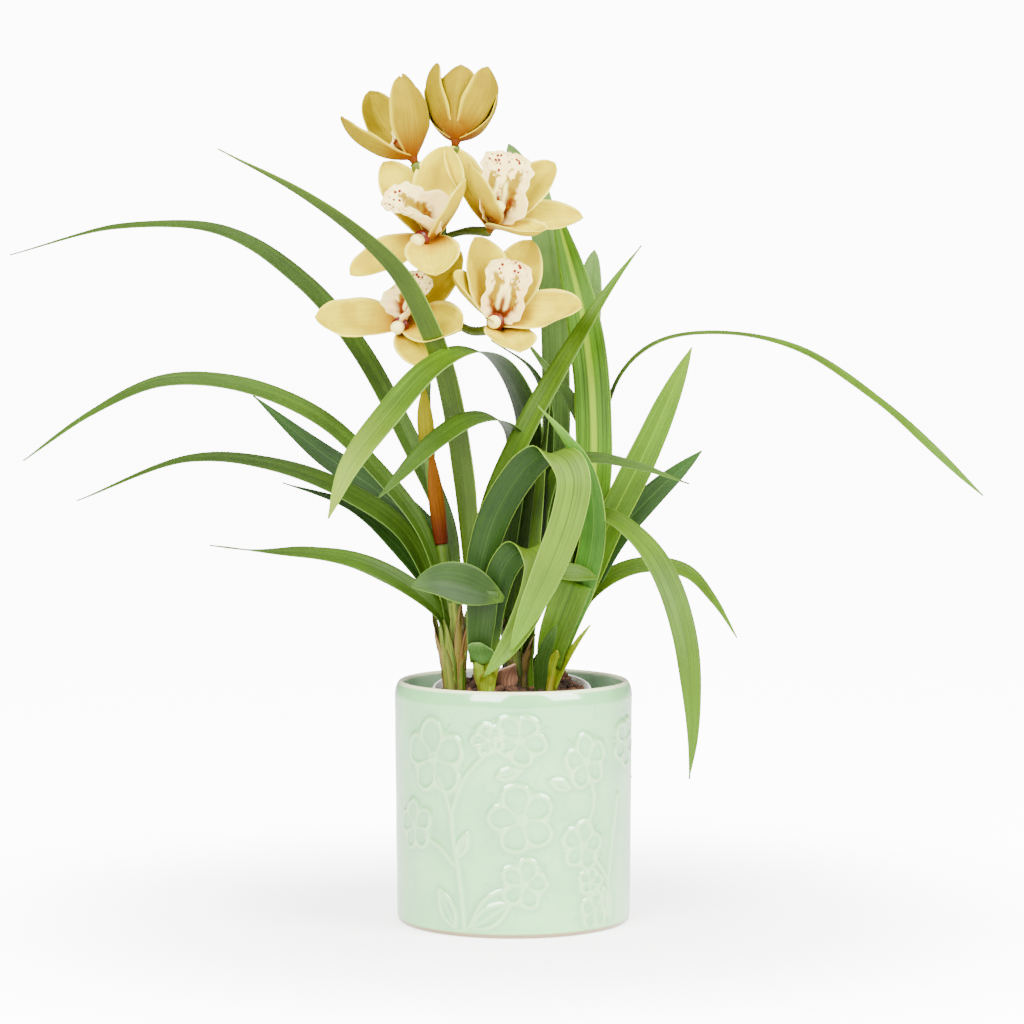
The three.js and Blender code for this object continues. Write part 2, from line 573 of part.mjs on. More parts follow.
function bloomFrame({ centre, faces }) {
  const [bearing, rise] = faces.map(radians);
  const axis = new THREE.Vector3(Math.cos(bearing) * Math.cos(rise), Math.sin(bearing) * Math.cos(rise),
    Math.sin(rise));
  const high = up.clone().addScaledVector(axis, -up.dot(axis)).normalize();
  const right = high.clone().cross(axis);
  const outward = (angle) => right.clone().multiplyScalar(Math.cos(radians(angle)))
    .addScaledVector(high, Math.sin(radians(angle)));
  return { centre: point(centre), axis, outward };
}

// Points that start at the bloom's axis and lean away from it by the angles in open.
function arc(frame, angle, start, length, open, steps) {
  const out = frame.outward(angle);
  const place = frame.centre.clone().addScaledVector(frame.axis, start).addScaledVector(out, 1.2);
  const points = [place.clone()];
  const ways = [];
  for (let i = 0; i < steps; i += 1) {
    const lean = radians(spread(open, (i + 0.5) / steps));
    const way = frame.axis.clone().multiplyScalar(Math.cos(lean)).addScaledVector(out, Math.sin(lean));
    place.addScaledVector(way, length / steps);
    points.push(place.clone());
    ways.push(way);
  }
  ways.push(ways[steps - 1]);
  return { points, ways, side: frame.axis.clone().cross(out) };
}

function tepal(bloom, frame, k, grow) {
  const steps = 4;
  const inner = k % 2 === 1;
  const [angle, lean] = bloom.tepals[k];
  const open = bloom.curve.map((change) => lean + change);
  const length = bloomSize.tepal * bloom.size;
  const { points, ways, side } = arc(frame, angle, inner ? 2 : -0.5, length, open, steps);
  const rows = points.map((p, i) => {
    const half = (bloomSize.tepalWidth / 2) * bloom.size * (inner ? 1.05 : 0.95)
      * taper(i / steps, { root: 0.16, full: 0.5, hold: 0.48, power: 2.3, round: 0.62 }) + 0.45 + grow;
    const face = ways[i].clone().cross(side);
    return [-1, 0, 1].map((s) => p.clone().addScaledVector(side, s * half)
      .addScaledVector(face, (Math.abs(s) - 0.4) * half * 0.42));
  });
  return sheet(rows, tepalThickness, grow);
}

function tepals(bloom, grow) {
  const frame = bloomFrame(bloom);
  const back = frame.centre.clone().addScaledVector(frame.axis, -4 - grow);
  const front = frame.centre.clone().addScaledVector(frame.axis, 2.5 + grow);
  const core = loft([back.toArray(), frame.centre.toArray(), front.toArray()], [2.4, 3.8, 2.6], 5, 2, grow);
  return join([core, ...bloom.tepals.map((_, k) => tepal(bloom, frame, k, grow))]);
}

function lip(bloom, grow) {
  const frame = bloomFrame(bloom);
  const steps = 6;
  const { place, leans } = bloom.lip;
  const size = bloom.size * bloom.lip.size;
  const { points, ways, side } = arc(frame, place, 4.2, bloomSize.lip * size, leans, steps);
  const rows = points.map((p, i) => {
    const u = i / steps;
    const lobes = spread([0.34, 0.75, 1, 1.02, 0.98, 0.95, 0.9, 0.72, 0.3], u);
    const curl = spread([0.9, 0.95, 0.9, 0.75, 0.6, 0.5, 0.4, 0.3, 0.2], u);
    const half = (bloomSize.lipWidth / 2) * size * lobes + grow;
    const face = ways[i].clone().cross(side);
    return [-1, -0.5, 0, 0.5, 1].map((s) => p.clone()
      .addScaledVector(side, s * half * (1 - 0.3 * curl * Math.abs(s)))
      .addScaledVector(face, s * s * half * curl));
  });
  return sheet(rows, tepalThickness, grow);
}

function column(bloom, grow) {
  const frame = bloomFrame(bloom);
  const { place, leans } = bloom.column;
  const { points } = arc(frame, place, 3.2, bloomSize.column * bloom.size, leans, 4);
  const r = bloomSize.columnRadius * bloom.size;
  return loft(points.map((p) => p.toArray()), [r * 0.7, r * 0.8, r * 1.1, r * 1.3, r * 0.6], 5, 4, grow);
}

// ---- the flower stem with a stalk for each bloom, and its bracts ----
const stemPath = [[-39, 2, 178], [-42, 2, 208], [-47, 0, 248], [-53, -1, 291], [-55, 0, 328], [-54, 2, 360],
  [-51, 4, 391], [-46, 4, 422], [-43, 3, 448], [-41, 2, 462]];
const stemRadii = [3.6, 3.5, 3.3, 3.1, 2.8, 2.5, 2.1];
const stalkRadii = [2, 2.2, 2.9, 3.3];
const stalks = {
  bloom_top_right: [[-41, 2, 460], [-38, 1, 475]],
  bloom_top_left: [[-43, 3, 446], [-57, -6, 466]],
  bloom_upper_left: [[-46, 4, 418], [-52, -2, 417]],
  bloom_upper_right: [[-45, 4, 430], [-29, 5, 434]],
  bloom_lower_right: [[-54, 2, 392], [-28, 2, 372]],
  bloom_lower_left: [[-55, 1, 350], [-64, -1, 366]],
};

function flowerStem(grow) {
  const parts = [loft(stemPath, stemRadii, 6, 11, grow)];
  blooms.forEach((bloom) => {
    const { centre, axis } = bloomFrame(bloom);
    const path = [...stalks[bloom.name], centre.addScaledVector(axis, -4 - gap).toArray()];
    parts.push(loft(path, stalkRadii, 4, 3, grow));
  });
  return join(parts);
}

const bracts = [
  { name: 'bract_yellow', material: bractYellow, from: 0.4, to: 0.56, opens: -100, spread: 2.6 },
  { name: 'bract_orange', material: bractOrange, from: 0.21, to: 0.42, opens: -70, spread: 2.2 },
];

function bract(entry, grow) {
  const curve = new THREE.CatmullRomCurve3(stemPath.map(point), false, 'centripetal');
  const rows = [0, 0.2, 0.4, 0.6, 0.8, 1].map((u) => {
    const place = mix(entry.from, entry.to, u);
    const along = curve.getTangentAt(place);
    const wrap = 150 * (1 - u ** 1.6) + 12;
    const clear = spread(stemRadii, place) + gap + bladeThickness / 2;
    const radius = clear + entry.spread * Math.sin(u * Math.PI * 0.7);
    return [-1, -0.5, 0, 0.5, 1].map((s) => {
      const turn = radians(entry.opens + s * wrap * 0.5);
      const out = new THREE.Vector3(Math.cos(turn), Math.sin(turn), 0);
      out.addScaledVector(along, -out.dot(along)).normalize();
      return curve.getPointAt(place).addScaledVector(out, radius);
    });
  });
  return sheet(rows, bladeThickness, grow);
}

// ---- the pieces, each trimmed clear of the ones before it ----
const pieces = [
  { name: 'ceramic_pot', material: celadon, make: ceramicPot },
  { name: 'nursery_pot', material: whitePlastic, make: nurseryPot },
];
Object.entries(growths).forEach(([name, entry]) => {
  pieces.push({ name: `pseudobulb_${name}`, material: sheathGreen, make: (grow) => growth(entry, grow) });
});
pieces.push({ name: 'flower_stem', material: stemGreen, make: flowerStem });
bracts.forEach((entry) => {
  pieces.push({ name: entry.name, material: entry.material, make: (grow) => bract(entry, grow) });
});
leaves.forEach((entry) => {
  const material = entry.name.startsWith('scale') ? paperBrown : leafGreen;
  pieces.push({ name: entry.name, material, make: (grow) => leaf(entry, grow) });
});
blooms.forEach((bloom) => {
  pieces.push({ name: `${bloom.name}_tepals`, material: petalYellow, make: (grow) => tepals(bloom, grow) });
  pieces.push({ name: `${bloom.name}_column`, material: columnCream, make: (grow) => column(bloom, grow) });
  pieces.push({ name: `${bloom.name}_lip`, material: lipCream, make: (grow) => lip(bloom, grow) });
});
pieces.push({ name: 'potting_bark', material: barkBrown, make: barkMound });

function apart(a, b) {
  const [p, q] = [a.boundingBox(), b.boundingBox()];
  return [0, 1, 2].some((k) => p.max[k] < q.min[k] || q.max[k] < p.min[k]);
}

const orchid = new THREE.Group();
const placed = [];
pieces.forEach(({ name, material, make }) => {
  const whole = make(0);
  const near = placed.filter((other) => !apart(whole, other));
  const trimmed = near.length ? largest(whole.subtract(join(near))) : whole;
  placed.push(make(gap));
  const mesh = new THREE.Mesh(geometryOf(trimmed.simplify(flatness)), material());
  mesh.name = name;
  orchid.add(mesh);
});

export default orchid;
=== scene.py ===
# A potted cymbidium in a celadon pot: leaves, blooms, stem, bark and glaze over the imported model.
import json
import math
import bpy
import numpy as np
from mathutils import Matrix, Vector

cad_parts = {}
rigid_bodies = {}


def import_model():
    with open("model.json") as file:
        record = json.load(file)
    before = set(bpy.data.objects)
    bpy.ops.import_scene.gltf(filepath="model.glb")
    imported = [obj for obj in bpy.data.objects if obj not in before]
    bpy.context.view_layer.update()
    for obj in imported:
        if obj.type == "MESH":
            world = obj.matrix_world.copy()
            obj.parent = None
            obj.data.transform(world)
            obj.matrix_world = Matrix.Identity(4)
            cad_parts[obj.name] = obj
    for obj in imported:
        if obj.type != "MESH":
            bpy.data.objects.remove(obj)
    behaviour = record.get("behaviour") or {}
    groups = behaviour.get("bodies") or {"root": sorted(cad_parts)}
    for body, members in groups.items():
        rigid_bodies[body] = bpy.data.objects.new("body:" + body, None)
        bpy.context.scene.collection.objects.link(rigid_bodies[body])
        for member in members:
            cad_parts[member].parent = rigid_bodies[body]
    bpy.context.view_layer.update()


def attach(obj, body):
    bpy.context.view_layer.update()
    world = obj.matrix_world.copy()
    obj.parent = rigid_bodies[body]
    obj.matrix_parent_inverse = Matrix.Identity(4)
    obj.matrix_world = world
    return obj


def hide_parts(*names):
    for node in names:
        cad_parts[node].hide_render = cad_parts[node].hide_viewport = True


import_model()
mm = 0.001  # every table below is in millimetres


# small tools
def linear(code):  # sRGB hex to a linear colour
    channels = [int(code[i:i + 2], 16) / 255 for i in (0, 2, 4)]
    return tuple(c / 12.92 if c <= 0.04045 else ((c + 0.055) / 1.055) ** 2.4 for c in channels) + (1.0,)


def unit(vectors):
    return vectors / np.maximum(np.linalg.norm(vectors, axis=-1, keepdims=True), 1e-9)


def dot(a, b):
    return np.sum(a * b, axis=-1, keepdims=True)


def blend(a, b, t):
    return a + (b - a) * t


def ease(low, high, x):  # 0 below low, 1 above high, smooth between
    t = np.clip((x - low) / (high - low), 0, 1)
    return t * t * (3 - 2 * t)


def spread(values, u):  # a value from a list laid evenly over 0 to 1
    values = np.array(values, float)
    place = np.clip(u, 0, 1) * (len(values) - 1)
    low = np.minimum(place.astype(int), len(values) - 2)
    return blend(values[low], values[low + 1], ease(0, 1, place - low))


def smoothPath(points, fine=24):  # centripetal curve through the points
    p = np.array(points, float)
    ends = np.vstack([2 * p[0] - p[1], p, 2 * p[-1] - p[-2]])
    t = np.linspace(0, 1, fine, endpoint=False)[:, None]
    pieces = []
    for a, b, c, d in zip(ends, ends[1:], ends[2:], ends[3:]):
        before, here, after = (max(np.linalg.norm(y - x), 1e-6) ** 0.5 for x, y in ((a, b), (b, c), (c, d)))
        leave = ((b - a) / before - (c - a) / (before + here) + (c - b) / here) * here
        arrive = ((c - b) / here - (d - b) / (here + after) + (d - c) / after) * here
        pieces.append(b + leave * t + (3 * (c - b) - 2 * leave - arrive) * t ** 2
                      + (2 * (b - c) + leave + arrive) * t ** 3)
    return np.vstack(pieces + [p[-1:]])


def lengths(path):  # how far along the path each point lies
    return np.concatenate([[0], np.cumsum(np.linalg.norm(np.diff(path, axis=0), axis=1))])


def evenly(path, count, first=0.0, last=1.0):  # points at even distances, and the length
    reach = lengths(path)
    wanted = np.linspace(first, last, count) * reach[-1]
    return np.stack([np.interp(wanted, reach, path[:, k]) for k in range(3)], 1), reach[-1] * (last - first)


def taper(u, root, full, hold, power, round):  # how wide a blade is along its length
    rise = blend(root, 1, np.sin(np.minimum(u / full, 1) * np.pi / 2))
    t = np.clip((u - hold) / (1 - hold), 0, 1)
    return rise * (1 - t ** power) ** round


def noise(points, size, seed):  # smooth value noise, -1 to 1
    p = np.asarray(points, float) / size + seed * 7.31
    cell = np.floor(p).astype(np.int64)
    f = p - cell
    f = f * f * (3 - 2 * f)
    total = np.zeros(p.shape[:-1])
    for corner in np.ndindex(*(2,) * p.shape[-1]):
        key = np.zeros(p.shape[:-1], np.int64)
        weight = np.ones(p.shape[:-1])
        for k, c in enumerate(corner):
            key = key * 7919 + (cell[..., k] + c) * (104729 + 31 * k)
            weight = weight * (f[..., k] if c else 1 - f[..., k])
        key = (key ^ (key >> 13)) * 1274126177 & 0x7FFFFFFF
        total += weight * ((key ^ (key >> 16)) % 65536 / 32768 - 1)
    return total


def addNode(tree, kind, settings=None, inputs=None):  # an input takes a value, hex colour, socket or node
    made = tree.nodes.new(kind if "Node" in kind else "ShaderNode" + kind)
    for name, value in (settings or {}).items():
        setattr(made, name, value)
    for key, value in (inputs or {}).items():
        if isinstance(value, bpy.types.Node):
            value = next(output for output in value.outputs if output.enabled)
        if isinstance(value, bpy.types.NodeSocket):
            tree.links.new(value, made.inputs[key])
        else:
            made.inputs[key].default_value = linear(value) if isinstance(value, str) else value
    return made


def newMaterial(name, surface):  # surface: the Principled BSDF's own sockets
    material = bpy.data.materials.new(name)
    material.use_nodes = True
    tree = material.node_tree
    tree.nodes.clear()
    shader = addNode(tree, "BsdfPrincipled", inputs=surface)
    addNode(tree, "OutputMaterial", inputs={"Surface": shader})
    return material, tree, shader


def readPlace(tree):
    return addNode(tree, "TexCoord").outputs["Object"]


def readMarks(tree, *names):  # the marks that a piece's points carry
    return [addNode(tree, "Attribute", {"attribute_name": name}).outputs["Fac"] for name in names]


def readSheet(tree):  # a sheet's own map, how far along it, which side of its midline, and how far off that
    uv = addNode(tree, "UVMap", {"uv_map": "UVMap"})
    across, along, _ = addNode(tree, "SeparateXYZ", inputs={0: uv}).outputs
    side = addNode(tree, "Math", {"operation": "MULTIPLY_ADD"}, {0: across, 1: 2.0, 2: -1.0})
    return uv, along, side, addNode(tree, "Math", {"operation": "ABSOLUTE"}, {0: side})


def weigh(tree, *parts):  # parts multiplied: each is a socket, or value, from, to, low, high and any LINEAR
    total = None
    for part in parts:
        if isinstance(part, tuple):
            value, start, end, low, high, *easing = part
            part = addNode(tree, "MapRange", {"interpolation_type": easing[0] if easing else "SMOOTHSTEP"},
                           {0: value, 1: start, 2: end, 3: low, 4: high})
        if total is None:
            total = part
        else:
            total = addNode(tree, "Math", {"operation": "MULTIPLY"}, {0: total, 1: part})
    return total


def layer(tree, skin, *coats):  # each coat: a colour, then the parts that say how strongly it covers
    for colour, *parts in coats:
        skin = addNode(tree, "Mix", {"data_type": "RGBA"}, {0: weigh(tree, *parts), 6: skin, 7: colour})
    return skin


def dress(tree, shader, skin, height=None, strength=0.0, depth=0.0):  # its colour and fine relief
    tree.links.new(skin.outputs[2], shader.inputs["Base Color"])
    if height:
        bump = addNode(tree, "Bump", inputs={"Strength": strength, "Distance": depth, "Height": height})
        tree.links.new(bump.outputs[0], shader.inputs["Normal"])


def newPiece(name, points, faces, material, uv=None, marks=None):  # points in mm
    mesh = bpy.data.meshes.new(name)
    mesh.from_pydata((np.asarray(points, float) * mm).tolist(), [], faces)
    mesh.polygons.foreach_set("use_smooth", [True] * len(mesh.polygons))
    if uv is not None:
        corner = np.empty(len(mesh.loops), np.int32)
        mesh.loops.foreach_get("vertex_index", corner)
        mesh.uv_layers.new(name="UVMap").data.foreach_set("uv", np.asarray(uv, np.float32)[corner].ravel())
    for mark, values in (marks or {}).items():
        stored = mesh.attributes.new(mark, "FLOAT", "POINT")
        stored.data.foreach_set("value", np.asarray(values, np.float32).ravel())
    mesh.materials.append(material)
    made = bpy.data.objects.new(name, mesh)
    bpy.context.collection.objects.link(made)
    return made


def stand(piece, slot, *nodes):  # the piece rides with the pot and takes the nodes' place
    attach(piece, "root")
    if nodes:
        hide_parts(*nodes)


# Closed shells gathered into one piece: points, faces, uv and the marks that materials read.
class Gather:
    def __init__(self):
        self.points, self.faces, self.uv, self.marks, self.count = [], [], [], {}, 0

    def add(self, points, faces, uv, **marks):
        self.points.append(points)
        self.faces += [tuple(i + self.count for i in face) for face in faces]
        self.uv.append(uv)
        for mark, values in marks.items():
            self.marks.setdefault(mark, []).append(np.broadcast_to(values, len(points)))
        self.count += len(points)

    def make(self, name, material):
        marks = {mark: np.concatenate(values) for mark, values in self.marks.items()}
        return newPiece(name, np.vstack(self.points), self.faces, material, np.vstack(self.uv), marks)


def addSheet(gather, grid, thickness, **marks):  # a grid of points made thick and closed round its edge
    rows, across = grid.shape[:2]
    along = np.gradient(grid, axis=0)
    over = np.gradient(grid, axis=1)
    s = np.linspace(-1, 1, across)[None, :, None]
    thin = 1 - 0.55 * np.abs(s) ** 8
    offset = unit(np.cross(along, over)) * thickness / 2 * thin
    points = np.vstack([(grid + offset).reshape(-1, 3), (grid - offset).reshape(-1, 3)])
    low = rows * across
    faces = []
    for i in range(rows - 1):
        for j in range(across - 1):
            a, b = i * across + j, (i + 1) * across + j
            faces.append((a, b, b + 1, a + 1))
            faces.append((a + low, a + 1 + low, b + 1 + low, b + low))
        a, b = i * across, (i + 1) * across
        faces.append((a, a + low, b + low, b))
        faces.append((b + across - 1, b + across - 1 + low, a + across - 1 + low, a + across - 1))
    for j in range(across - 1):
        end = (rows - 1) * across
        faces.append((j, j + 1, j + 1 + low, j + low))
        faces.append((end + j, end + j + low, end + j + 1 + low, end + j + 1))
    length = lengths(grid[:, across // 2])[:, None] * mm
    uv = np.stack(np.broadcast_arrays(np.linspace(0, 1, across)[None, :], length), -1).reshape(-1, 2)
    reach = np.repeat(np.linspace(0, 1, rows), across)
    for name, value in marks.items():
        marks[name] = np.tile(np.broadcast_to(value, (rows, across)).ravel(), 2)
    gather.add(points, faces, np.tile(uv, (2, 1)), reach=np.tile(reach, 2),
               front=np.repeat([1.0, 0.0], low), **marks)


def ringFaces(rows, around):  # quads between closed rings, and fans to the two end points after them
    faces = []
    for i in range(0, (rows - 1) * around, around):
        for j in range(around):
            k = (j + 1) % around
            faces.append((i + j, i + k, i + around + k, i + around + j))
    low, high, last = rows * around, rows * around + 1, (rows - 1) * around
    faces += [(low, (j + 1) % around, j) for j in range(around)]
    return faces + [(high, last + j, last + (j + 1) % around) for j in range(around)]


def addTube(gather, path, radii, sides=20, **marks):  # rings along a path, closed at both ends
    along = unit(np.gradient(path, axis=0))
    first = unit(np.cross(along[0], [0.3, 1.0, 0.2]))
    frames = [first]
    for way in along[1:]:
        frames.append(unit(frames[-1] - way * np.dot(frames[-1], way)))
    side = np.array(frames)
    other = np.cross(along, side)
    turn = np.linspace(0, 2 * np.pi, sides, endpoint=False)
    radii = np.broadcast_to(np.asarray(radii, float).reshape(len(path), -1), (len(path), sides))
    rings = (path[:, None] + side[:, None] * (np.cos(turn) * radii)[..., None]
             + other[:, None] * (np.sin(turn) * radii)[..., None])
    rows = len(path)
    points = np.vstack([rings.reshape(-1, 3), path[:1] - along[:1] * radii[0, 0] * 0.3,
                        path[-1:] + along[-1:] * radii[-1, 0] * 0.3])
    length = lengths(path) * mm
    u = np.abs(np.linspace(-1, 1, sides, endpoint=False))
    uv = np.stack(np.broadcast_arrays(u[None], length[:, None]), -1).reshape(-1, 2)
    uv = np.vstack([uv, [0.5, 0], [0.5, length[-1]]])
    reach = np.append(np.repeat(np.linspace(0, 1, rows), sides), [0, 1])
    gather.add(points, ringFaces(rows, sides), uv, reach=reach, front=1.0, **marks)


# the glazed pot
pot = {
    "height": 152, "rimRadius": 75, "footRadius": 73.6, "wall": 6, "floor": 6,
    "around": 520, "wallRows": 150,
    "plateau": 0.5, "ridge": 1.05, "ridgeWidth": 1.35, "stemWidth": 1.45, "notch": 0.42,
}
potFlowers = [  # degrees from the front, height, size, turn
    (-41, 110, 23, 95), (3, 123, 16, 130), (-12, 123, 10, 40), (4, 74, 21, 105), (37, 108, 16, 100),
    (35, 56, 15, 80), (5, 34, 15, 75), (-55, 66, 16, 100), (68, 116, 15, 60),
    (43, 15, 12, 90), (40, 33, 9, 80),
]
potLeaves = [
    (-29, 6, 26, 118), (-20, 6, 30, 34), (-8, 100, 16, 15), (28, 92, 15, 160),
    (-27, 50, 16, 68), (52, 10, 20, 105),
]
potStems = [
    [(-24, 4), (-26, 30), (-30, 62), (-31, 76)], [(-31, 76), (-34, 88), (-38, 98)],
    [(-31, 76), (-24, 98), (-10, 118)], [(-29, 44), (-37, 54), (-46, 60)],
    [(-22, 6), (-14, 24), (-2, 32)], [(40, 96), (42, 84), (38, 68)],
    [(54, 8), (53, 26), (50, 36), (42, 48)], [(52, 32), (56, 60), (60, 84)],
]


glazeTones = {"plain": "92D688", "thick": "82C87C", "pool": "68AC72", "ridge": "BCE6A0", "rim": "F4F6C4",
              "inside": "86A082", "clay": "8E7448"}


def potRadius(z):
    return blend(pot["footRadius"], pot["rimRadius"], z / pot["height"])


def wallRelief(angle, z):  # height of the ornament over the wall, and how near a ridge line is
    degree = math.radians(1) * pot["rimRadius"]
    relief, lines, pools = np.zeros(angle.shape), np.zeros(angle.shape), np.zeros(angle.shape)
    wide = pot["ridgeWidth"]

    def emboss(away, inside, strength=1.0):  # away: distance outside the outline, below zero within it
        nonlocal relief, lines, pools
        pools = np.maximum(pools, np.exp(-(away / (2.8 * wide)) ** 2) * strength)
        edge = np.exp(-(away / wide) ** 2) * strength
        floor = inside * pot["plateau"] * ease(0.4, -wide, away)
        relief = np.maximum(relief, floor + (pot["ridge"] - floor * 0.5) * edge)
        lines = np.maximum(lines, edge)

    for half in (0, 180):
        for place, height, size, turn in potFlowers:
            x = ((angle - place - half + 180) % 360 - 180) * degree
            y = z - height
            away = np.maximum(np.hypot(x, y), 0.01)
            around = np.radians((np.degrees(np.arctan2(y, x)) - turn + 36) % 72 - 36)
            whole = np.arctan2(y, x)
            lobe = np.abs(np.cos(around * 2.5)) + 1e-4
            swell = 1 + 0.05 * np.sin(whole * 2 + place) + 0.03 * np.sin(whole * 7 + height)
            reach = size * (pot["notch"] + (1 - pot["notch"]) * lobe ** 0.42) * swell
            slope = size * (1 - pot["notch"]) * 0.42 * lobe ** (0.42 - 1) * 2.5 * np.sin(np.abs(around) * 2.5)
            emboss((away - reach) / np.sqrt(1 + (slope / away) ** 2), 1.0)
            seam = away * np.sin(np.radians(36) - np.abs(around))
            emboss(seam + 99 * (away > reach) + 99 * (away < 0.2 * size), 0.0, 0.55)
            emboss(np.abs(away - 0.13 * size) - 0.1, 0.0, 0.8)
        for place, height, length, turn in potLeaves:
            x = ((angle - place - half + 180) % 360 - 180) * degree
            y = z - height
            c, s = math.cos(math.radians(turn)), math.sin(math.radians(turn))
            a, b = (x * c + y * s) / length, (y * c - x * s) / length
            edge = 0.19 * np.sin(np.pi * np.clip(a, 0.0, 1.0) ** 0.85)
            beyond = np.maximum(np.abs(a - 0.5) - 0.5, 0)
            emboss((np.abs(b) - edge + beyond) * length, 1.0)
            emboss(np.maximum(np.abs(b), np.maximum(np.abs(a - 0.45) - 0.4, 0)) * length * 1.6, 0.0, 0.7)
        for line in potStems:
            path = smoothPath([((p[0] + half) * degree, p[1], 0) for p in line], 30)
            near = np.full(angle.shape, 99.0)
            for p in path:
                x = (angle * degree - p[0] + 180 * degree) % (360 * degree) - 180 * degree
                near = np.minimum(near, np.hypot(x, z - p[1]))
            emboss(near * wide / pot["stemWidth"], 0.0, 0.9)
    return relief, lines, pools


def makePot():
    inner = pot["rimRadius"] - pot["wall"]
    rise, crest = pot["height"], pot["rimRadius"] - 4.2
    wallTop = rise - 11
    foot = pot["footRadius"]
    profile = [(foot - 3.5, 0.0), (foot - 1.6, 0.25), (foot - 0.5, 1.2)]
    profile += [(potRadius(z), z) for z in np.linspace(3.2, wallTop, pot["wallRows"])]
    for k in range(1, 17):  # a soft shoulder outside, then over the lip to the inside
        turn = math.pi / 2 * k / 16
        profile.append((crest + 4.2 * math.cos(turn), wallTop + 11 * math.sin(turn)))
    outside = len(profile)
    for k in range(1, 7):
        turn = math.pi / 2 * k / 6
        profile.append((crest - 1.8 * math.sin(turn), rise - 3 + 3 * math.cos(turn)))
    profile += [(inner - 0.2, rise - 8), (inner - 0.5, rise - 30), (inner - 0.8, 60), (inner - 1, 20)]
    profile += [(inner - 3, 9), (inner - 8, pot["floor"])]
    radius, height = np.array(profile).T
    rows, around = len(profile), pot["around"]
    angle = np.linspace(-180, 180, around, endpoint=False)
    angles, heights = np.meshgrid(angle, height)
    relief, lines, pools = wallRelief(angles, heights)
    index = np.arange(rows)[:, None]
    onWall = (index >= 3) & (index < 3 + pot["wallRows"])
    fade = onWall * ease(3.2, 6, heights) * ease(wallTop, wallTop - 4, heights)
    turns = np.radians(angles)
    wave = 0.18 * noise(np.stack([np.cos(turns) * 75, np.sin(turns) * 75, heights], -1), 26, 3)
    wave = wave * (index < 4 + pot["wallRows"])  # thrown ware is never quite true
    reach = radius[:, None] + relief * fade + wave
    points = np.stack([reach * np.sin(turns), -reach * np.cos(turns), heights], -1)
    points = np.vstack([points.reshape(-1, 3), [[0, 0, 0], [0, 0, pot["floor"]]]])
    pools = np.clip(pools * 1.2 + 0.4 * relief, 0, 1) * (1 - lines) * fade
    within = np.repeat(index >= outside, around, 1)
    made = newPiece("glazedPot", points, ringFaces(rows, around), celadonGlaze(), None, {
        "ridge": np.append((lines * fade).ravel(), [0, 0]), "pool": np.append(pools.ravel(), [0, 0]),
        "within": np.append(within.ravel(), [0, 1])})
    stand(made, "celadon_glaze", "ceramic_pot")


def celadonGlaze():
    # Stoneware under thick celadon: it runs thin and pale over ridges and rim, and pools green below them.
    material, tree, shader = newMaterial("celadonGlaze", {
        "Roughness": 0.18, "IOR": 1.6, "Coat Weight": 1.0, "Coat IOR": 1.6, "Coat Roughness": 0.04})
    place = readPlace(tree)
    height = addNode(tree, "SeparateXYZ", inputs={0: place}).outputs["Z"]
    ridge, pool, within = readMarks(tree, "ridge", "pool", "within")
    cloud = addNode(tree, "TexNoise", inputs={"Vector": place, "Scale": 38.0, "Detail": 3.0})
    coats = (("plain", (cloud, 0.35, 0.65, 0, 1, "LINEAR")), ("pool", (pool, 0, 1, 0, 0.6, "LINEAR")),
             ("pool", (height, 0.12, 0.148, 0, 0.2)), ("ridge", (ridge, 0, 1, 0, 0.6, "LINEAR")),
             ("inside", (within, 0, 1, 0, 0.9, "LINEAR")), ("rim", (height, 0.1495, 0.1514, 0, 0.9)),
             # the bare clay foot, darkened as a painted shadow line where the pot meets the floor
             ("clay", (height, 0.0022, 0.0036, 1, 0)))
    glaze = layer(tree, glazeTones["thick"], *((glazeTones[tone], ramp) for tone, ramp in coats))
    skin = addNode(tree, "TexNoise", inputs={"Vector": place, "Scale": 180.0, "Detail": 1.0})
    dress(tree, shader, glaze, skin, 0.08, 0.0004)
    return material


# the nursery pot and the bark in it
nursery = {
    "rimRadius": 50, "footRadius": 38, "wall": 1.2, "tilt": 8, "rimCentre": (-1, 0, 147), "around": 144,
}
bark = {"below": 5, "crown": 4, "chips": 310, "small": 0.5, "large": 1.05, "seed": 5}


def nurseryFoot():  # how far the pot's axis runs, and the middle of its leaning underside
    lean = math.radians(nursery["tilt"])
    low = pot["floor"] + 0.3 + nursery["footRadius"] * math.sin(lean)
    length = (nursery["rimCentre"][2] - low) / math.cos(lean)
    return length, (nursery["rimCentre"][0], nursery["rimCentre"][1] + length * math.sin(lean), low)


def leanForward(points):
    lean = math.radians(nursery["tilt"])
    x, y, z = np.asarray(points, float).T
    cosine, sine = math.cos(lean), math.sin(lean)
    turned = np.stack([x, y * cosine - z * sine, y * sine + z * cosine], 1)
    return turned + nurseryFoot()[1]


def lathe(profile, around):  # a turned body whose profile starts and ends on the axis
    radius, height = np.array(profile[1:-1], float).T
    turn = np.linspace(0, 2 * np.pi, around, endpoint=False)
    ring = np.stack([radius[:, None] * np.cos(turn), radius[:, None] * np.sin(turn),
                     height[:, None] + 0 * turn], -1).reshape(-1, 3)
    points = np.vstack([ring, [[0, 0, profile[0][1]], [0, 0, profile[-1][1]]]])
    return points, ringFaces(len(radius), around)


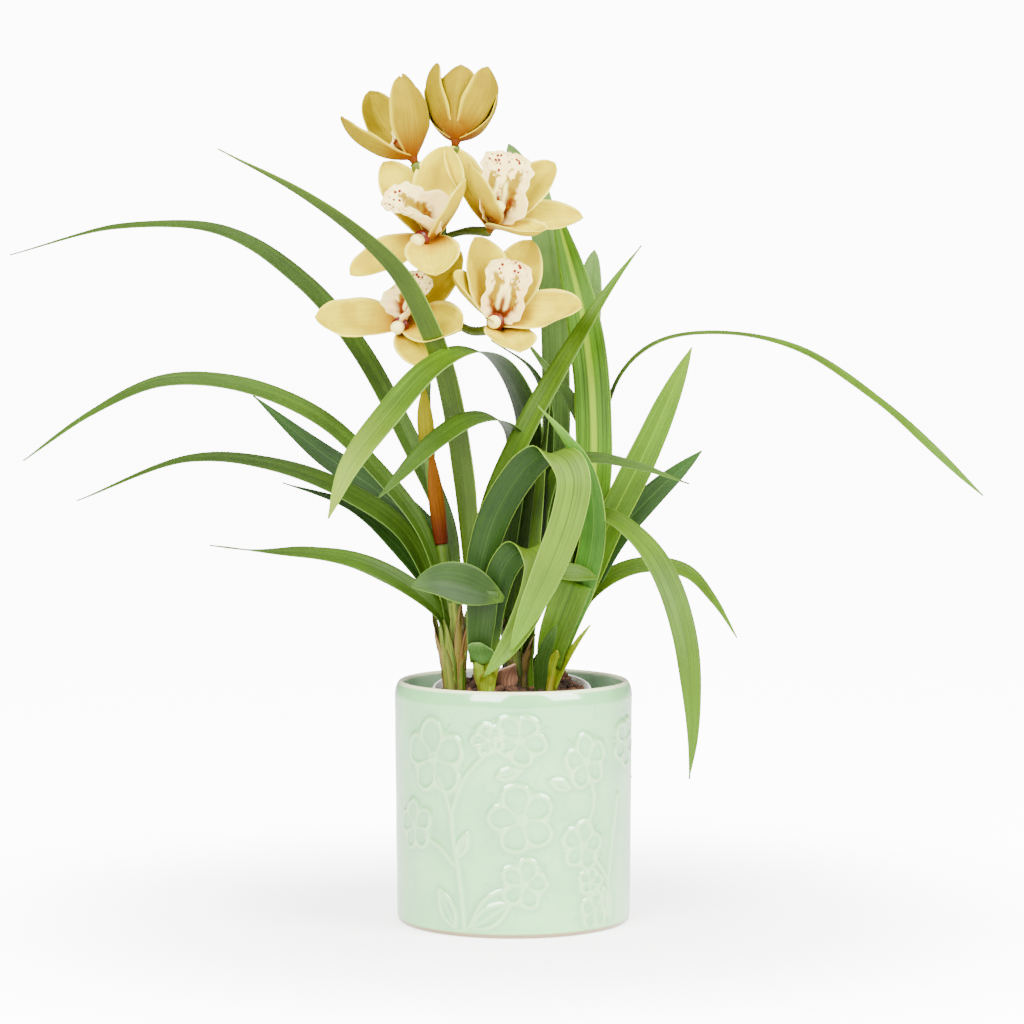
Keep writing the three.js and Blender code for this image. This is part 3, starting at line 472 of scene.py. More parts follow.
def makeNurseryPot():
    length, _ = nurseryFoot()
    r, f, w = nursery["rimRadius"], nursery["footRadius"], nursery["wall"]
    profile = [(0, 0), (f - 1, 0), (f, 1), (r - 2.6, length - 9.3), (r - 2.4, length - 9),
               (r - 0.4, length - 9), (r, length - 8.6), (r, length - 0.6), (r - 0.3, length - 0.1),
               (r - 0.8, length), (r - 1.3, length - 0.1), (r - 1.6, length - 0.6), (r - 2.5 - w, length - 11), (f - w, w + 1),
               (f - w - 1, w), (0, w)]
    points, faces = lathe(profile, nursery["around"])
    material, _, _ = newMaterial("mouldedPolypropylene", {  # white and a little waxy
        "Base Color": "F1F1EC", "Roughness": 0.42, "IOR": 1.49,
        "Subsurface Weight": 0.15, "Subsurface Radius": (0.003, 0.003, 0.003)})
    stand(newPiece("nurseryPot", leanForward(points), faces, material), "white_plastic", "nursery_pot")


def barkHeight(radius):
    edge = nursery["rimRadius"] - 4
    return nurseryFoot()[0] - bark["below"] + bark["crown"] * (1 - (radius / edge) ** 2)


def chipShape(name, size, seed, material):  # a split, worn chip: a rounded block with pushed faces
    n = 5
    steps = np.linspace(-1, 1, n)
    keep, points, faces = {}, [], []

    def corner(p):
        key = tuple(np.round(p, 3))
        if key not in keep:
            keep[key] = len(points)
            body = np.array(p) / max(np.linalg.norm(p) ** 0.55, 1e-6)
            broad, fine = noise(body[None], 0.8, seed)[0], noise(body[None], 0.3, seed + 2)[0]
            body = body * (1 + 0.35 * broad) + 0.12 * fine
            points.append(body * np.array(size) / 2)
        return keep[key]

    for axis in range(3):
        for sign in (-1, 1):
            for i in range(n - 1):
                for j in range(n - 1):
                    quad = []
                    for a, b in ((i, j), (i + 1, j), (i + 1, j + 1), (i, j + 1)):
                        p = [0, 0, 0]
                        p[axis], p[(axis + 1) % 3], p[(axis + 2) % 3] = sign, steps[a], steps[b]
                        quad.append(corner(p))
                    faces.append(tuple(quad if sign > 0 else quad[::-1]))
    return newPiece(name, points, faces, material)


def chipScatter():  # Geometry Nodes: chips strewn over the mound's top
    tree = bpy.data.node_groups.new("chipScatter", "GeometryNodeTree")
    for name, kind in (("Geometry", "Geometry"), ("Chips", "Collection"), ("Count density", "Float"),
                       ("Smallest", "Float"), ("Largest", "Float"), ("Seed", "Int"), ("Finish", "Material")):
        tree.interface.new_socket(name, in_out="INPUT", socket_type="NodeSocket" + kind)
    tree.interface.new_socket("Geometry", in_out="OUTPUT", socket_type="NodeSocketGeometry")
    given = addNode(tree, "NodeGroupInput").outputs
    upward = addNode(tree, "SeparateXYZ", inputs={0: addNode(tree, "GeometryNodeInputNormal")}).outputs["Z"]
    level = addNode(tree, "FunctionNodeCompare", {"operation": "GREATER_THAN"}, {0: upward, 1: 0.6})
    points = addNode(tree, "GeometryNodeDistributePointsOnFaces", inputs={
        "Mesh": given["Geometry"], "Selection": level, "Density": given["Count density"],
        "Seed": given["Seed"]})
    pool = addNode(tree, "GeometryNodeCollectionInfo", inputs={
        "Collection": given["Chips"], "Separate Children": True, "Reset Children": True})
    tip = addNode(tree, "FunctionNodeRandomValue", {"data_type": "FLOAT_VECTOR"}, {
        0: (-0.9, -0.9, 0.0), 1: (0.9, 0.9, 6.28), "Seed": given["Seed"]})
    size = addNode(tree, "FunctionNodeRandomValue", {"data_type": "FLOAT"}, {
        2: given["Smallest"], 3: given["Largest"], "Seed": given["Seed"]})
    laid = addNode(tree, "GeometryNodeInstanceOnPoints", inputs={
        "Points": points, "Instance": pool, "Pick Instance": True, "Rotation": tip, "Scale": size})
    real = addNode(tree, "GeometryNodeRealizeInstances", inputs={0: laid})
    joined = addNode(tree, "GeometryNodeJoinGeometry")
    for geometry in (given["Geometry"], real.outputs[0]):
        tree.links.new(geometry, joined.inputs[0])
    done = addNode(tree, "GeometryNodeSetMaterial", inputs={0: joined, "Material": given["Finish"]})
    smooth = addNode(tree, "GeometryNodeSetShadeSmooth", inputs={0: done, 2: True})
    addNode(tree, "NodeGroupOutput", inputs={0: smooth})
    return tree


def grown(carrier, tree, values):  # runs a Geometry Nodes tree on the carrier and keeps the plain mesh
    modifier = carrier.modifiers.new(tree.name, "NODES")
    modifier.node_group = tree
    for item in tree.interface.items_tree:
        if item.in_out == "INPUT" and item.name in values:
            modifier[item.identifier] = values[item.name]
    bpy.context.view_layer.update()
    seen = carrier.evaluated_get(bpy.context.evaluated_depsgraph_get())
    result = bpy.data.meshes.new_from_object(seen)
    carrier.modifiers.clear()
    carrier.data = result


def makeBark():
    length, _ = nurseryFoot()
    wall, foot = nursery["wall"], nursery["footRadius"]
    edge = nursery["rimRadius"] - 2.5 - wall - 0.4
    profile = [(0, wall + 0.3), (foot - wall - 0.5, wall + 0.3), (edge, length - 11)]
    profile += [(r, barkHeight(r)) for r in np.linspace(edge, 2, 24)] + [(0, barkHeight(0))]
    points, faces = lathe(profile, 72)
    top = points[:, 2] > length - 10
    points[:, 2] += top * (1.6 * noise(points, 7, 1) + 0.8 * noise(points, 3, 2) - 1.0)
    material = barkPieces()
    mound = newPiece("barkMound", leanForward(points), faces, material)
    pool = bpy.data.collections.new("chipPool")
    sizes = [(17, 9, 5), (13, 8, 6), (20, 7, 4), (10, 8, 5), (12, 5, 4)]
    for k, size in enumerate(sizes):
        chip = chipShape(f"chip{k}", size, k + 1, material)
        bpy.context.collection.objects.unlink(chip)
        pool.objects.link(chip)
    grown(mound, chipScatter(), {
        "Chips": pool, "Count density": bark["chips"] / (math.pi * (edge * mm) ** 2), "Finish": material,
        "Smallest": bark["small"], "Largest": bark["large"], "Seed": bark["seed"]})
    for chip in list(pool.objects):
        bpy.data.objects.remove(chip)
    bpy.data.collections.remove(pool)
    keepInside(mound)
    stand(mound, "bark", "potting_bark")


def keepInside(piece):  # nothing of the bark pushes through the nursery pot
    points = np.empty(len(piece.data.vertices) * 3)
    piece.data.vertices.foreach_get("co", points)
    points = points.reshape(-1, 3)
    centre = np.array(nursery["rimCentre"][:2]) * mm
    away = points[:, :2] - centre
    far = np.linalg.norm(away, axis=1)
    limit = (nursery["rimRadius"] - 4) * mm
    squeeze = np.where((far > limit) & (points[:, 2] > 0.13), limit / np.maximum(far, 1e-6), 1)
    points[:, :2] = centre + away * squeeze[:, None]
    piece.data.vertices.foreach_set("co", points.ravel())
    piece.data.update()


def barkPieces():
    # Aged pine bark: matt and fibrous, from near black in the cracks to warm red brown on split faces.
    material, tree, shader = newMaterial("agedPineBark", {"Roughness": 0.92, "IOR": 1.45})
    place = readPlace(tree)
    patch = addNode(tree, "TexVoronoi", {"feature": "F1"}, {"Vector": place, "Scale": 95.0}).outputs["Color"]
    grain = addNode(tree, "TexNoise", inputs={
        "Vector": place, "Scale": 420.0, "Detail": 5.0, "Roughness": 0.65})
    brown = layer(tree, "2A1A0C", ("53321A", addNode(tree, "SeparateColor", inputs={0: patch})))
    brown = addNode(tree, "Mix", {"data_type": "RGBA", "blend_type": "SOFT_LIGHT"}, {
        0: 0.8, 6: brown, 7: weigh(tree, (grain, 0.35, 0.7, 0, 1, "LINEAR"))})
    dress(tree, shader, brown, grain, 0.7, 0.0008)
    return material


# leaves
shapes = {
    "strap": dict(root=0.36, full=0.35, hold=0.45, power=1.9, round=1),
    "long": dict(root=0.4, full=0.3, hold=0.42, power=1.8, round=1),
    "late": dict(root=0.4, full=0.8, hold=0.85, power=1.8, round=0.8),
    "broad": dict(root=0.36, full=0.35, hold=0.6, power=2, round=1),
    "hang": dict(root=0.4, full=0.35, hold=0.68, power=2.8, round=0.9),
    "blade": dict(root=0.5, full=0.4, hold=0.58, power=2.3, round=0.85),
    "slim": dict(root=0.6, full=0.3, hold=0.35, power=1.6, round=1),
    "blunt": dict(root=0.4, full=0.35, hold=0.6, power=2.4, round=0.8),
    "open": dict(root=0.65, full=0.9, hold=0.9, power=2, round=0),
    "tongue": dict(root=0.12, full=0.45, hold=0.45, power=2, round=0.9),
    "round": dict(root=0.55, full=0.35, hold=0.85, power=3, round=0.7),
}
blade = {"thickness": 0.75, "rowEvery": 3.0, "across": 17, "rib": 0.14, "wave": 0.5}
leaves = {
    "leaf_fold_front": dict(look="fold", width=21, shape="hang", turn=[0, 0, 0, -5, -10], heading=-90,
        path=[(-18, -17, 171), (-22, -18, 201), (-21, -20, 223), (-16, -23, 244), (-10, -26, 260),
              (-1, -30, 276), (10, -35, 290), (22, -42, 297), (32, -50, 293), (37, -55, 281),
              (34, -57, 261), (27, -58, 240), (18, -58, 218), (9, -57, 199), (-2, -56, 175)]),
    "leaf_short_fold_left": dict(look="tongue", width=19, shape="open", turn=[-90, -90], heading=180,
        path=[(-21, -20, 165), (-21, -24, 179), (-20, -28, 193), (-19, -33, 211)],
        folded=dict(width=26, shape="tongue", turn=[-75, -75], heading=180,
            path=[(-6, -31, 205), (-17, -34, 210), (-30, -38, 215), (-46, -44, 218), (-63, -50, 215)])),
    "leaf_tip_behind_fold": dict(look="fold", width=19, shape="blade", turn=[0, 0, 0],
        path=[(-14, -14, 170), (-14, -18, 190), (-11, -23, 209), (-6, -28, 225), (3, -33, 236),
              (12, -40, 237), (16, -46, 230), (14, -49, 214), (7, -51, 196), (-4, -52, 177),
              (-18, -52, 159)]),
    "leaf_diagonal_right": dict(look="mid", width=16, shape="strap", turn=[50, 40, 40], heading=20,
        path=[(-18, -12, 178), (-21, -13, 219), (-12, -16, 266), (8, -19, 312), (37, -16, 363),
              (61, -10, 400), (80, -4, 425)]),
    "leaf_arch_front_left": dict(look="arch", width=21, shape="hang", turn=[0, 0, -10, -30],
        path=[(-1, 8, 170), (2, 12, 214), (8, 12, 278), (8, 0, 319), (-9, -28, 353), (-28, -50, 360),
              (-50, -72, 350), (-76, -94, 321), (-98, -110, 291), (-110, -118, 261)]),
    "leaf_arch_low_left": dict(look="dusky", width=18, shape="blade", turn=[0, 0, -20, -35],
        path=[(-4, 12, 170), (-6, 16, 221), (-1, 12, 272), (2, -4, 303), (-9, -26, 317), (-26, -48, 318),
              (-49, -70, 304), (-81, -94, 272)]),
    "leaf_tall_left": dict(look="fresh", width=15, shape="long", turn=[30, 30, 35, 30],
        path=[(-24, -12, 178), (-27, -17, 231), (-31, -26, 280), (-41, -44, 342), (-51, -54, 372),
              (-66, -66, 402), (-84, -78, 423), (-121, -94, 451), (-175, -112, 480)]),
    "leaf_long_left_top": dict(look="dusky", width=17, shape="long", turn=[-30, -28, -30, -26],
        path=[(-38, 4, 176), (-38, 6, 208), (-42, 10, 246), (-68, 22, 305), (-96, 36, 356),
              (-136, 56, 404), (-189, 74, 436), (-259, 92, 439), (-331, 104, 421)]),
    "leaf_long_left_upper": dict(look="dusky", width=18, shape="long", turn=[-44, -42, -36, -26],
        path=[(-40, -2, 177), (-45, -4, 209), (-58, -8, 248), (-86, -14, 285), (-119, -22, 317),
              (-167, -34, 338), (-216, -46, 341), (-258, -56, 322), (-299, -64, 293)]),
    "leaf_dark_left": dict(look="dark", width=18, shape="strap", turn=[-75, -75, -75],
        path=[(-39, 6, 179), (-43, 12, 220), (-58, 20, 246), (-87, 26, 270), (-123, 34, 294),
              (-167, 44, 330)]),
    "leaf_long_left_lower": dict(look="dusky", width=15, shape="long", turn=[-50, -44, -30, -26],
        path=[(-42, 2, 177), (-48, 2, 202), (-69, 2, 245), (-107, 4, 271), (-154, 8, 288),
              (-205, 12, 291), (-277, 18, 264)]),
    "leaf_thin_left": dict(look="dark", width=12, shape="long", turn=[-42, -32, -22],
        path=[(-42, 6, 176), (-49, 8, 202), (-73, 12, 234), (-103, 18, 260), (-147, 26, 275)]),
    "leaf_low_left": dict(look="dusky", width=16, shape="long", turn=[-50, -50, -30, 20],
        path=[(-42, -4, 171), (-45, -8, 192), (-66, -14, 212), (-96, -24, 228), (-125, -32, 234),
              (-156, -40, 236), (-187, -46, 240)]),
    "leaf_short_middle": dict(look="mid", width=14, shape="strap", turn=[-60, -60], heading=90,
        path=[(4, 0, 170), (10, -4, 202), (15, -6, 253), (19, -4, 297), (23, 0, 327)]),
    "leaf_thin_arch": dict(look="dusky", width=10, shape="strap", turn=[0, 0, 0],
        path=[(2, 12, 176), (13, 16, 226), (21, 16, 283), (21, 14, 327), (11, 10, 348), (-14, -4, 366)]),
    "leaf_tall_back": dict(look="bluish", width=18, shape="round", turn=[0, 0, 0], heading=90,
        path=[(5, 14, 176), (17, 24, 226), (26, 30, 289), (27, 34, 353), (23, 38, 416), (12, 44, 464),
              (3, 48, 477), (-3, 52, 491)]),
    "leaf_diagonal_back": dict(look="bluish", width=13, shape="strap", turn=[-60, -60, -60],
        path=[(8, 14, 176), (31, 26, 238), (50, 24, 293), (38, 22, 326), (21, 20, 348), (5, 18, 369)]),
    "leaf_tall_right": dict(look="striped", width=23, shape="blade", turn=[0, 0, 0], heading=90,
        path=[(24, 2, 170), (37, 4, 215), (49, 6, 265), (50, 10, 328), (43, 16, 385), (25, 32, 454)]),
    "leaf_hooked_back": dict(look="bluish", width=15, shape="round", turn=[0, 0, 0], heading=90,
        path=[(28, 6, 173), (46, 18, 239), (51, 28, 315), (48, 34, 372), (49, 38, 391), (50, 42, 409),
              (52, 45, 423)]),
    "leaf_long_right": dict(look="mid", width=9, shape="late", turn=[10, 10, 10, 40, 65],
        path=[(27, 8, 173), (40, 14, 239), (54, 20, 302), (69, 28, 345), (94, 36, 365), (136, 44, 370),
              (185, 54, 359), (238, 64, 325), (306, 74, 264)]),
    "leaf_bright_right": dict(look="lime", width=19, shape="blade", turn=[80, 80, 80],
        path=[(25, -2, 168), (40, 0, 202), (60, 4, 249), (83, 10, 295), (113, 20, 361)]),
    "leaf_dark_right": dict(look="dark", width=16, shape="blade", turn=[75, 75, 75],
        path=[(27, 2, 170), (43, 8, 203), (63, 14, 239), (88, 20, 267), (120, 30, 295)]),
    "leaf_level_right": dict(look="dusky", width=13, shape="strap", turn=[45, 45, 45],
        path=[(12, -1, 142), (11, 0, 171), (16, 0, 221), (21, -6, 266), (30, -14, 288), (49, -20, 293),
              (80, -24, 287), (109, -28, 277)]),
    "leaf_drooping_right": dict(look="mid", width=17, shape="broad", turn=[40, 40, 14, 35, 45, 45],
        path=[(25, -3, 168), (31, -4, 196), (36, -4, 228), (41, -6, 248), (51, -10, 257), (66, -22, 253),
              (83, -36, 238), (96, -48, 215), (105, -55, 185), (109, -60, 153), (110, -61, 123),
              (108, -61, 97)]),
    "leaf_low_right": dict(look="mid", width=14, shape="blade", turn=[50, 40, 30],
        path=[(28, 0, 167), (40, 4, 196), (59, 10, 215), (82, 14, 223), (110, 16, 219), (127, 16, 201),
              (142, 14, 177)]),
    "leaf_stub_right": dict(look="mid", width=23, shape="open", turn=[-90, -90], heading=180,
        path=[(22, -11, 161), (25, -15, 178), (31, -18, 196), (38, -21, 215)],
        folded=dict(width=12, shape="tongue", turn=[-60, -60], heading=180,
            path=[(52, -22, 218), (42, -25, 221), (30, -28, 222), (18, -30, 220)])),
    "leaf_broad_right": dict(look="pale", width=17, shape="slim", turn=[0, 10, 20], heading=-110,
        path=[(27, -8, 165), (34, -12, 188), (42, -15, 210), (48, -19, 233), (50, -24, 255),
              (48, -31, 274), (43, -38, 290), (34, -43, 304), (25, -47, 315), (15, -50, 326)]),
    "leaf_collar_front": dict(look="bluish", width=16, shape="blunt", turn=[0, 0], heading=-100,
        path=[(-19, -22, 164), (-20, -25, 170), (-21, -28, 174), (-20, -31, 178)]),
    "leaf_short_dark": dict(look="dusky", width=9, shape="blunt", turn=[0, 0], heading=-80,
        path=[(17, -12, 140), (17, -15, 152), (18, -20, 166), (22, -25, 178), (27, -28, 189)]),
    "leaf_shoot_right": dict(look="shoot", width=9, shape="strap", turn=[40, 40],
        path=[(26, -9, 146), (31, -12, 160), (39, -16, 175), (48, -18, 188)]),
    "scale_brown_middle": dict(look="papery", width=15, shape="strap", turn=[0, 35], heading=-90,
        path=[(-4, -4, 144), (-4, -8, 155), (1, -12, 163)]),
}


def bladeGrid(entry, seed):
    path = smoothPath(entry["path"])
    count = max(14, int(np.linalg.norm(np.diff(path, axis=0), axis=1).sum() / blade["rowEvery"]))
    centres, length = evenly(path, count)
    u = np.linspace(0, 1, count)
    along = unit(np.gradient(centres, axis=0))
    lean = path[-1] - path[0]
    if "heading" in entry:
        heading = math.radians(entry["heading"])
        lean = np.array([math.cos(heading), math.sin(heading), 0])
    level = unit(np.cross([0.0, 0.0, 1.0], [lean[0], lean[1], 0.0]))
    side = unit(level - along * dot(level, along))
    turn = np.radians(spread(entry["turn"], u))[:, None]
    side = side * np.cos(turn) + np.cross(along, side) * np.sin(turn)
    face = np.cross(along, side)
    half = np.maximum(entry["width"] / 2 * taper(u, **shapes[entry["shape"]]), 0.35)
    fold = blend(0.45, 0.14, np.minimum(u / 0.4, 1)) * half
    s = np.linspace(-1, 1, blade["across"])
    v = np.abs(s)
    keel = (np.sqrt(v * v + 0.012) - 0.11) / 0.9 - 0.5  # a soft V, deepest along the midrib
    rib = -blade["rib"] * np.exp(-((v - 0.5) / 0.09) ** 2) * ease(0, 0.15, u)[:, None]
    edge = np.stack([u * length + 0 * s[:, None], 40 * s[:, None] + 0 * u], -1).transpose(1, 0, 2)
    wave = blade["wave"] * noise(edge, 34, seed) * v ** 2 * ease(0.1, 0.4, u)[:, None]
    lift = fold[:, None] * keel + rib + wave
    wide = s * half[:, None] * (1 + 0.03 * noise(edge, 25, seed + 9))
    return centres[:, None] + side[:, None] * wide[..., None] + face[:, None] * lift[..., None]


def makeLeaves():
    finishes = {look: leafFinish(look, values) for look, values in leafLooks.items()}
    for seed, (name, entry) in enumerate(leaves.items()):
        gather = Gather()
        addSheet(gather, bladeGrid(entry, seed), blade["thickness"])
        if "folded" in entry:
            addSheet(gather, bladeGrid(entry["folded"], seed + 50), blade["thickness"])
        words = name.split("_")
        piece = gather.make(words[0] + "".join(w.title() for w in words[1:]), finishes[entry["look"]])
        stand(piece, "dry_scale" if entry["look"] == "papery" else "leaf", name)


# top and under: the two faces, their colours partly their own and partly painted light and shade for how each
# face is lit. stripe: the midrib. edge: the margin, paler partly as a painted highlight along it. streak: how
# strong the veins are.
leafLooks = {
    "fold": dict(top="48620E", under="1B3406", stripe="2C480E", width=0.025, edge="7E9E36", edgeWidth=0.05,
                 root="466412", rootTo=0.12, tip="5A8416", streak=0.4),
    "bluish": dict(top="5A7A38", under="42642A", stripe="5A7C3A", width=0.02, edge="86A45C", edgeWidth=0.05,
                   root="56741C", rootTo=0.2, tip="5E8034", streak=0.35),
    "tongue": dict(top="243A10", under="2C4412", stripe="2A4010", width=0.02, edge="5E7C2E", edgeWidth=0.06,
                   root="4A6818", rootTo=0.2, tip="3E5A1C", streak=0.3),
    "mid": dict(top="3E5A07", under="304E0A", stripe="28480C", width=0.025, edge="6A8A30", edgeWidth=0.04,
                root="4E6E12", rootTo=0.15, tip="4C7210", streak=0.4),
    "arch": dict(top="385404", under="223608", stripe="2A440C", width=0.02, edge="6C8E34", edgeWidth=0.05,
                 root="486812", rootTo=0.15, tip="869C1C", streak=0.5),
    "fresh": dict(top="344204", under="304402", stripe="2C4206", width=0.025, edge="78962A", edgeWidth=0.09,
                  root="4A660C", rootTo=0.1, tip="48640E", streak=0.3),
    "dark": dict(top="1B3605", under="183208", stripe="3A5A24", width=0.025, edge="4E7030", edgeWidth=0.04,
                 root="3A5810", rootTo=0.15, tip="284C0E", streak=0.4),
    "striped": dict(top="385A00", under="386000", stripe="7C9A04", width=0.16, edge="7C9C26", edgeWidth=0.05,
                    root="6E8810", rootTo=0.12, tip="527E10", streak=0.8),
    "dusky": dict(top="30480C", under="28400E", stripe="243C0A", width=0.025, edge="5C7C30", edgeWidth=0.05,
                  root="42600E", rootTo=0.15, tip="3C5A10", streak=0.4),
    # the shoot is painted lighter than the other leaves: partly its own colour, partly painted light on a
    # leaf that sits in shade
    "shoot": dict(top="8EA41A", under="86A014", stripe="6E8810", width=0.03, edge="A0B02C", edgeWidth=0.06,
                  root="7E9010", rootTo=0.2, tip="8A9C1E", streak=0.3),
    "lime": dict(top="3A5800", under="365400", stripe="5E7E08", width=0.035, edge="7C9C16", edgeWidth=0.05,
                 root="6E8410", rootTo=0.2, tip="5E8008", streak=0.35),
    "pale": dict(top="7C8E1A", under="34600E", stripe="4E7618", width=0.03, edge="8CAC3A", edgeWidth=0.07,
                 root="567412", rootTo=0.15, tip="6E942A", streak=0.35),
    "papery": dict(top="8E6450", under="7A5640", stripe="5E3C2A", width=0.04, edge="BA9480", edgeWidth=0.1,
                   root="523222", rootTo=0.3, tip="A4806E", streak=0.9),
}


def leafFinish(look, values):
    # Living leaf: a satin waxy skin over parallel veins, a paler midrib and margin, lit through a little. The
    # two faces carry painted light and shade, and the margin is partly a painted highlight.
    material, tree, shader = newMaterial(look + "Leaf", {
        "Roughness": 0.75 if look == "papery" else 0.48, "IOR": 1.4, "Specular IOR Level": 0.25,
        "Subsurface Weight": 0.1, "Subsurface Radius": (0.0012, 0.0016, 0.0006)})
    uv, _, _, off = readSheet(tree)
    reach, front = readMarks(tree, "reach", "front")
    lines = addNode(tree, "Mapping", inputs={0: uv, 3: (30.0, 9.0, 1.0)})
    vein = addNode(tree, "TexNoise", inputs={"Vector": lines, "Scale": 1.0, "Detail": 3.0, "Roughness": 0.6})
    patch = addNode(tree, "TexNoise", inputs={"Vector": readPlace(tree), "Scale": 28.0, "Detail": 2.0})
    shade = weigh(tree, (patch, 0.3, 0.7, 0.78, 1.18, "LINEAR"),
                  (vein, 0.38, 0.66, 1 - values["streak"] * 0.5, 1 + values["streak"], "LINEAR"))
    # the two faces: their own colours mixed with painted light and shade for how each face is lit
    skin = addNode(tree, "Mix", {"data_type": "RGBA", "blend_type": "MULTIPLY"}, {
        0: 1.0, 6: layer(tree, values["under"], (values["top"], front)), 7: shade})
    skin = layer(tree, skin,
                 (values["tip"], (reach, 0.75, 1, 0, 0.5)),
                 (values["root"], (reach, 0, values["rootTo"], 0.85, 0)),
                 (values["stripe"], (off, values["width"] * 0.5, values["width"] * 1.6, 0.85, 0)),
                 # the margin: paler partly as a painted highlight along the leaf edge
                 (values["edge"], (off, 1 - values["edgeWidth"] * 1.5, 1, 0, 0.75)))
    dress(tree, shader, skin, vein, 0.35, 0.0004)
    return material


# growths: a slim bulb wrapped in clasping leaf bases
growths = {
    "left": dict(path=[(-37, 2, 136), (-37, 2, 150), (-38, 2, 178), (-40, 3, 200)], radii=[5.4, 6.6, 7.6, 5],
                 sheaths=13, reach=56, wrap=0.62, skin="7A8420", band="3A5A0C", tan="8E6030", edge="502A10"),
    "front": dict(path=[(-17, -14, 136), (-17, -14, 150), (-19, -15, 168), (-19, -16, 182)],
                  radii=[3, 4, 6.8, 5], sheaths=6, reach=30, wrap=1.3, skin="7E9008", band="5E7A08",
                  tan="8A7C1C", edge="6E6018"),
    "middle": dict(path=[(2, 8, 136), (2, 8, 150), (2, 8, 166), (3, 8, 182)], radii=[7, 8.6, 8.6, 5],
                   sheaths=11, reach=42, wrap=0.75, skin="5C661C", band="304012", tan="6E4628",
                   edge="3E2012"),
    "right": dict(path=[(21, -4, 136), (22, -4, 150), (26, -3, 172), (29, -2, 186)], radii=[4, 5, 6.4, 4],
                  sheaths=7, reach=44, wrap=1.0, skin="869404", band="6A8208", tan="8E8018", edge="6E6014"),
}


def makeGrowths():
    for seed, (name, entry) in enumerate(growths.items()):
        gather = Gather()
        path, _ = evenly(smoothPath(entry["path"]), 40)
        u = np.linspace(0, 1, 40)
        turn = np.linspace(0, 2 * np.pi, 48, endpoint=False)
        flute = 1 - 0.07 * (0.5 + 0.5 * np.sin(turn * 7 + seed))[None, :]
        radii = spread(entry["radii"], u)[:, None] * flute * 0.93
        addTube(gather, path, radii, 48, age=0.3)
        foot, top = np.array(entry["path"][1], float), np.array(entry["path"][-1], float)
        sunk = 9  # the sheaths start below the bark
        axis = unit(top - foot)
        right = unit(np.array([1.0, 0, 0]) - axis * axis[0])
        back = np.cross(axis, right)
        rows, across = 26, 15
        v = np.linspace(0, 1, rows)
        s = np.linspace(-1, 1, across)
        for k in range(entry["sheaths"]):
            middle = k / entry["sheaths"] * 2 * math.pi + 3.6 + 0.4 * math.sin(k * 2.3)
            share = 1 - 0.7 * ((k * 5) % entry["sheaths"]) / entry["sheaths"]
            height = (entry["reach"] * share + sunk) * v - sunk
            wrap = entry["wrap"] * taper(v, root=0.8, full=0.3, hold=0.2, power=1.6, round=1) + 0.03
            angle = middle + s[None, :] * wrap[:, None]
            body = spread(entry["radii"], np.clip(0.3 + 0.7 * v * share, 0, 1))[:, None]
            torn = 0.9 * noise(np.stack(np.broadcast_arrays(height[:, None], s * 9), -1), 5, seed * 20 + k)
            ring = body * 0.95 + 0.5 * (k % 3) + (0.4 + (1.6 + 1.5 * (k * 3 % 5)) * v ** 2.4)[:, None] \
                - 0.6 * (s * s)[None, :] + torn * v[:, None]
            grid = (foot + axis * height[:, None, None] + right * (np.cos(angle) * ring)[..., None]
                    + back * (np.sin(angle) * ring)[..., None])
            age = 0.15 + 0.85 * ((k * 3) % entry["sheaths"]) / entry["sheaths"]
            addSheet(gather, grid[:, ::-1], 0.6, age=age)
        piece = gather.make("leafBases" + name.title(), sheathFinish(name, entry))
        stand(piece, "leaf_base", "pseudobulb_" + name)


def sheathFinish(name, entry):
    # Clasping leaf bases: pale ribbed skin with green bands, the oldest dried to tan with brown tips.
    material, tree, shader = newMaterial(name + "LeafBase", {
        "Roughness": 0.55, "IOR": 1.42, "Subsurface Weight": 0.08,
        "Subsurface Radius": (0.0015, 0.0015, 0.0006)})
    uv, _, _, off = readSheet(tree)
    reach, age = readMarks(tree, "reach", "age")
    stripes = addNode(tree, "VectorMath", {"operation": "ADD"}, {
        0: addNode(tree, "Mapping", inputs={0: uv, 3: (11.0, 14.0, 1.0)}),
        1: addNode(tree, "CombineXYZ", inputs={2: age})})
    fibre = addNode(tree, "TexNoise", inputs={
        "Vector": stripes, "Scale": 1.6, "Detail": 3.0, "Roughness": 0.6})
    spot = addNode(tree, "TexNoise", inputs={"Vector": readPlace(tree), "Scale": 130.0, "Detail": 3.0})
    dry = (age, 0.45, 0.95, 0, 0.75, "LINEAR")
    skin = layer(tree, entry["skin"],
                 (entry["band"], (fibre, 0.42, 0.56, 0, 1, "LINEAR")),
                 (entry["tan"], dry),
                 ("5E4228", (reach, 0, 0.3, 0.7, 0), spot),
                 ("7A4A2C", (reach, 0.82, 1, 0, 0.8), dry),
                 (entry["edge"], (off, 0.72, 0.98, 0, 0.9), (age, 0.2, 0.5, 0, 1, "LINEAR")))
    dress(tree, shader, skin, fibre, 0.6, 0.0005)
    return material


# the flower stem, its stalks and bracts
stem = {
    "path": [(-39, 2, 178), (-42, 2, 208), (-47, 0, 248), (-53, -1, 291), (-55, 0, 328), (-54, 2, 360),
             (-51, 4, 391), (-46, 4, 422), (-43, 3, 448), (-41, 2, 462)],
    "radii": [3.6, 3.5, 3.3, 3.1, 2.8, 2.5, 2.1],
    "stalks": {"top_right": [(-41, 2, 460), (-38, 1, 475)], "top_left": [(-43, 3, 446), (-57, -6, 466)],
               "upper_left": [(-46, 4, 418), (-52, -2, 417)], "upper_right": [(-45, 4, 430), (-29, 5, 434)],
               "lower_right": [(-54, 2, 392), (-28, 2, 372)], "lower_left": [(-55, 1, 350), (-64, -1, 366)]},
    "stalkRadii": [2.0, 2.2, 2.9, 3.3],
}
bracts = {
    "yellow": dict(start=0.4, end=0.56, opens=-100, spread=2.6, foot="4E4A00", skin="645E00", tip="7E7600"),
    "orange": dict(start=0.21, end=0.42, opens=-70, spread=2.2, foot="461404", skin="5A3002", tip="7C4C06"),
}


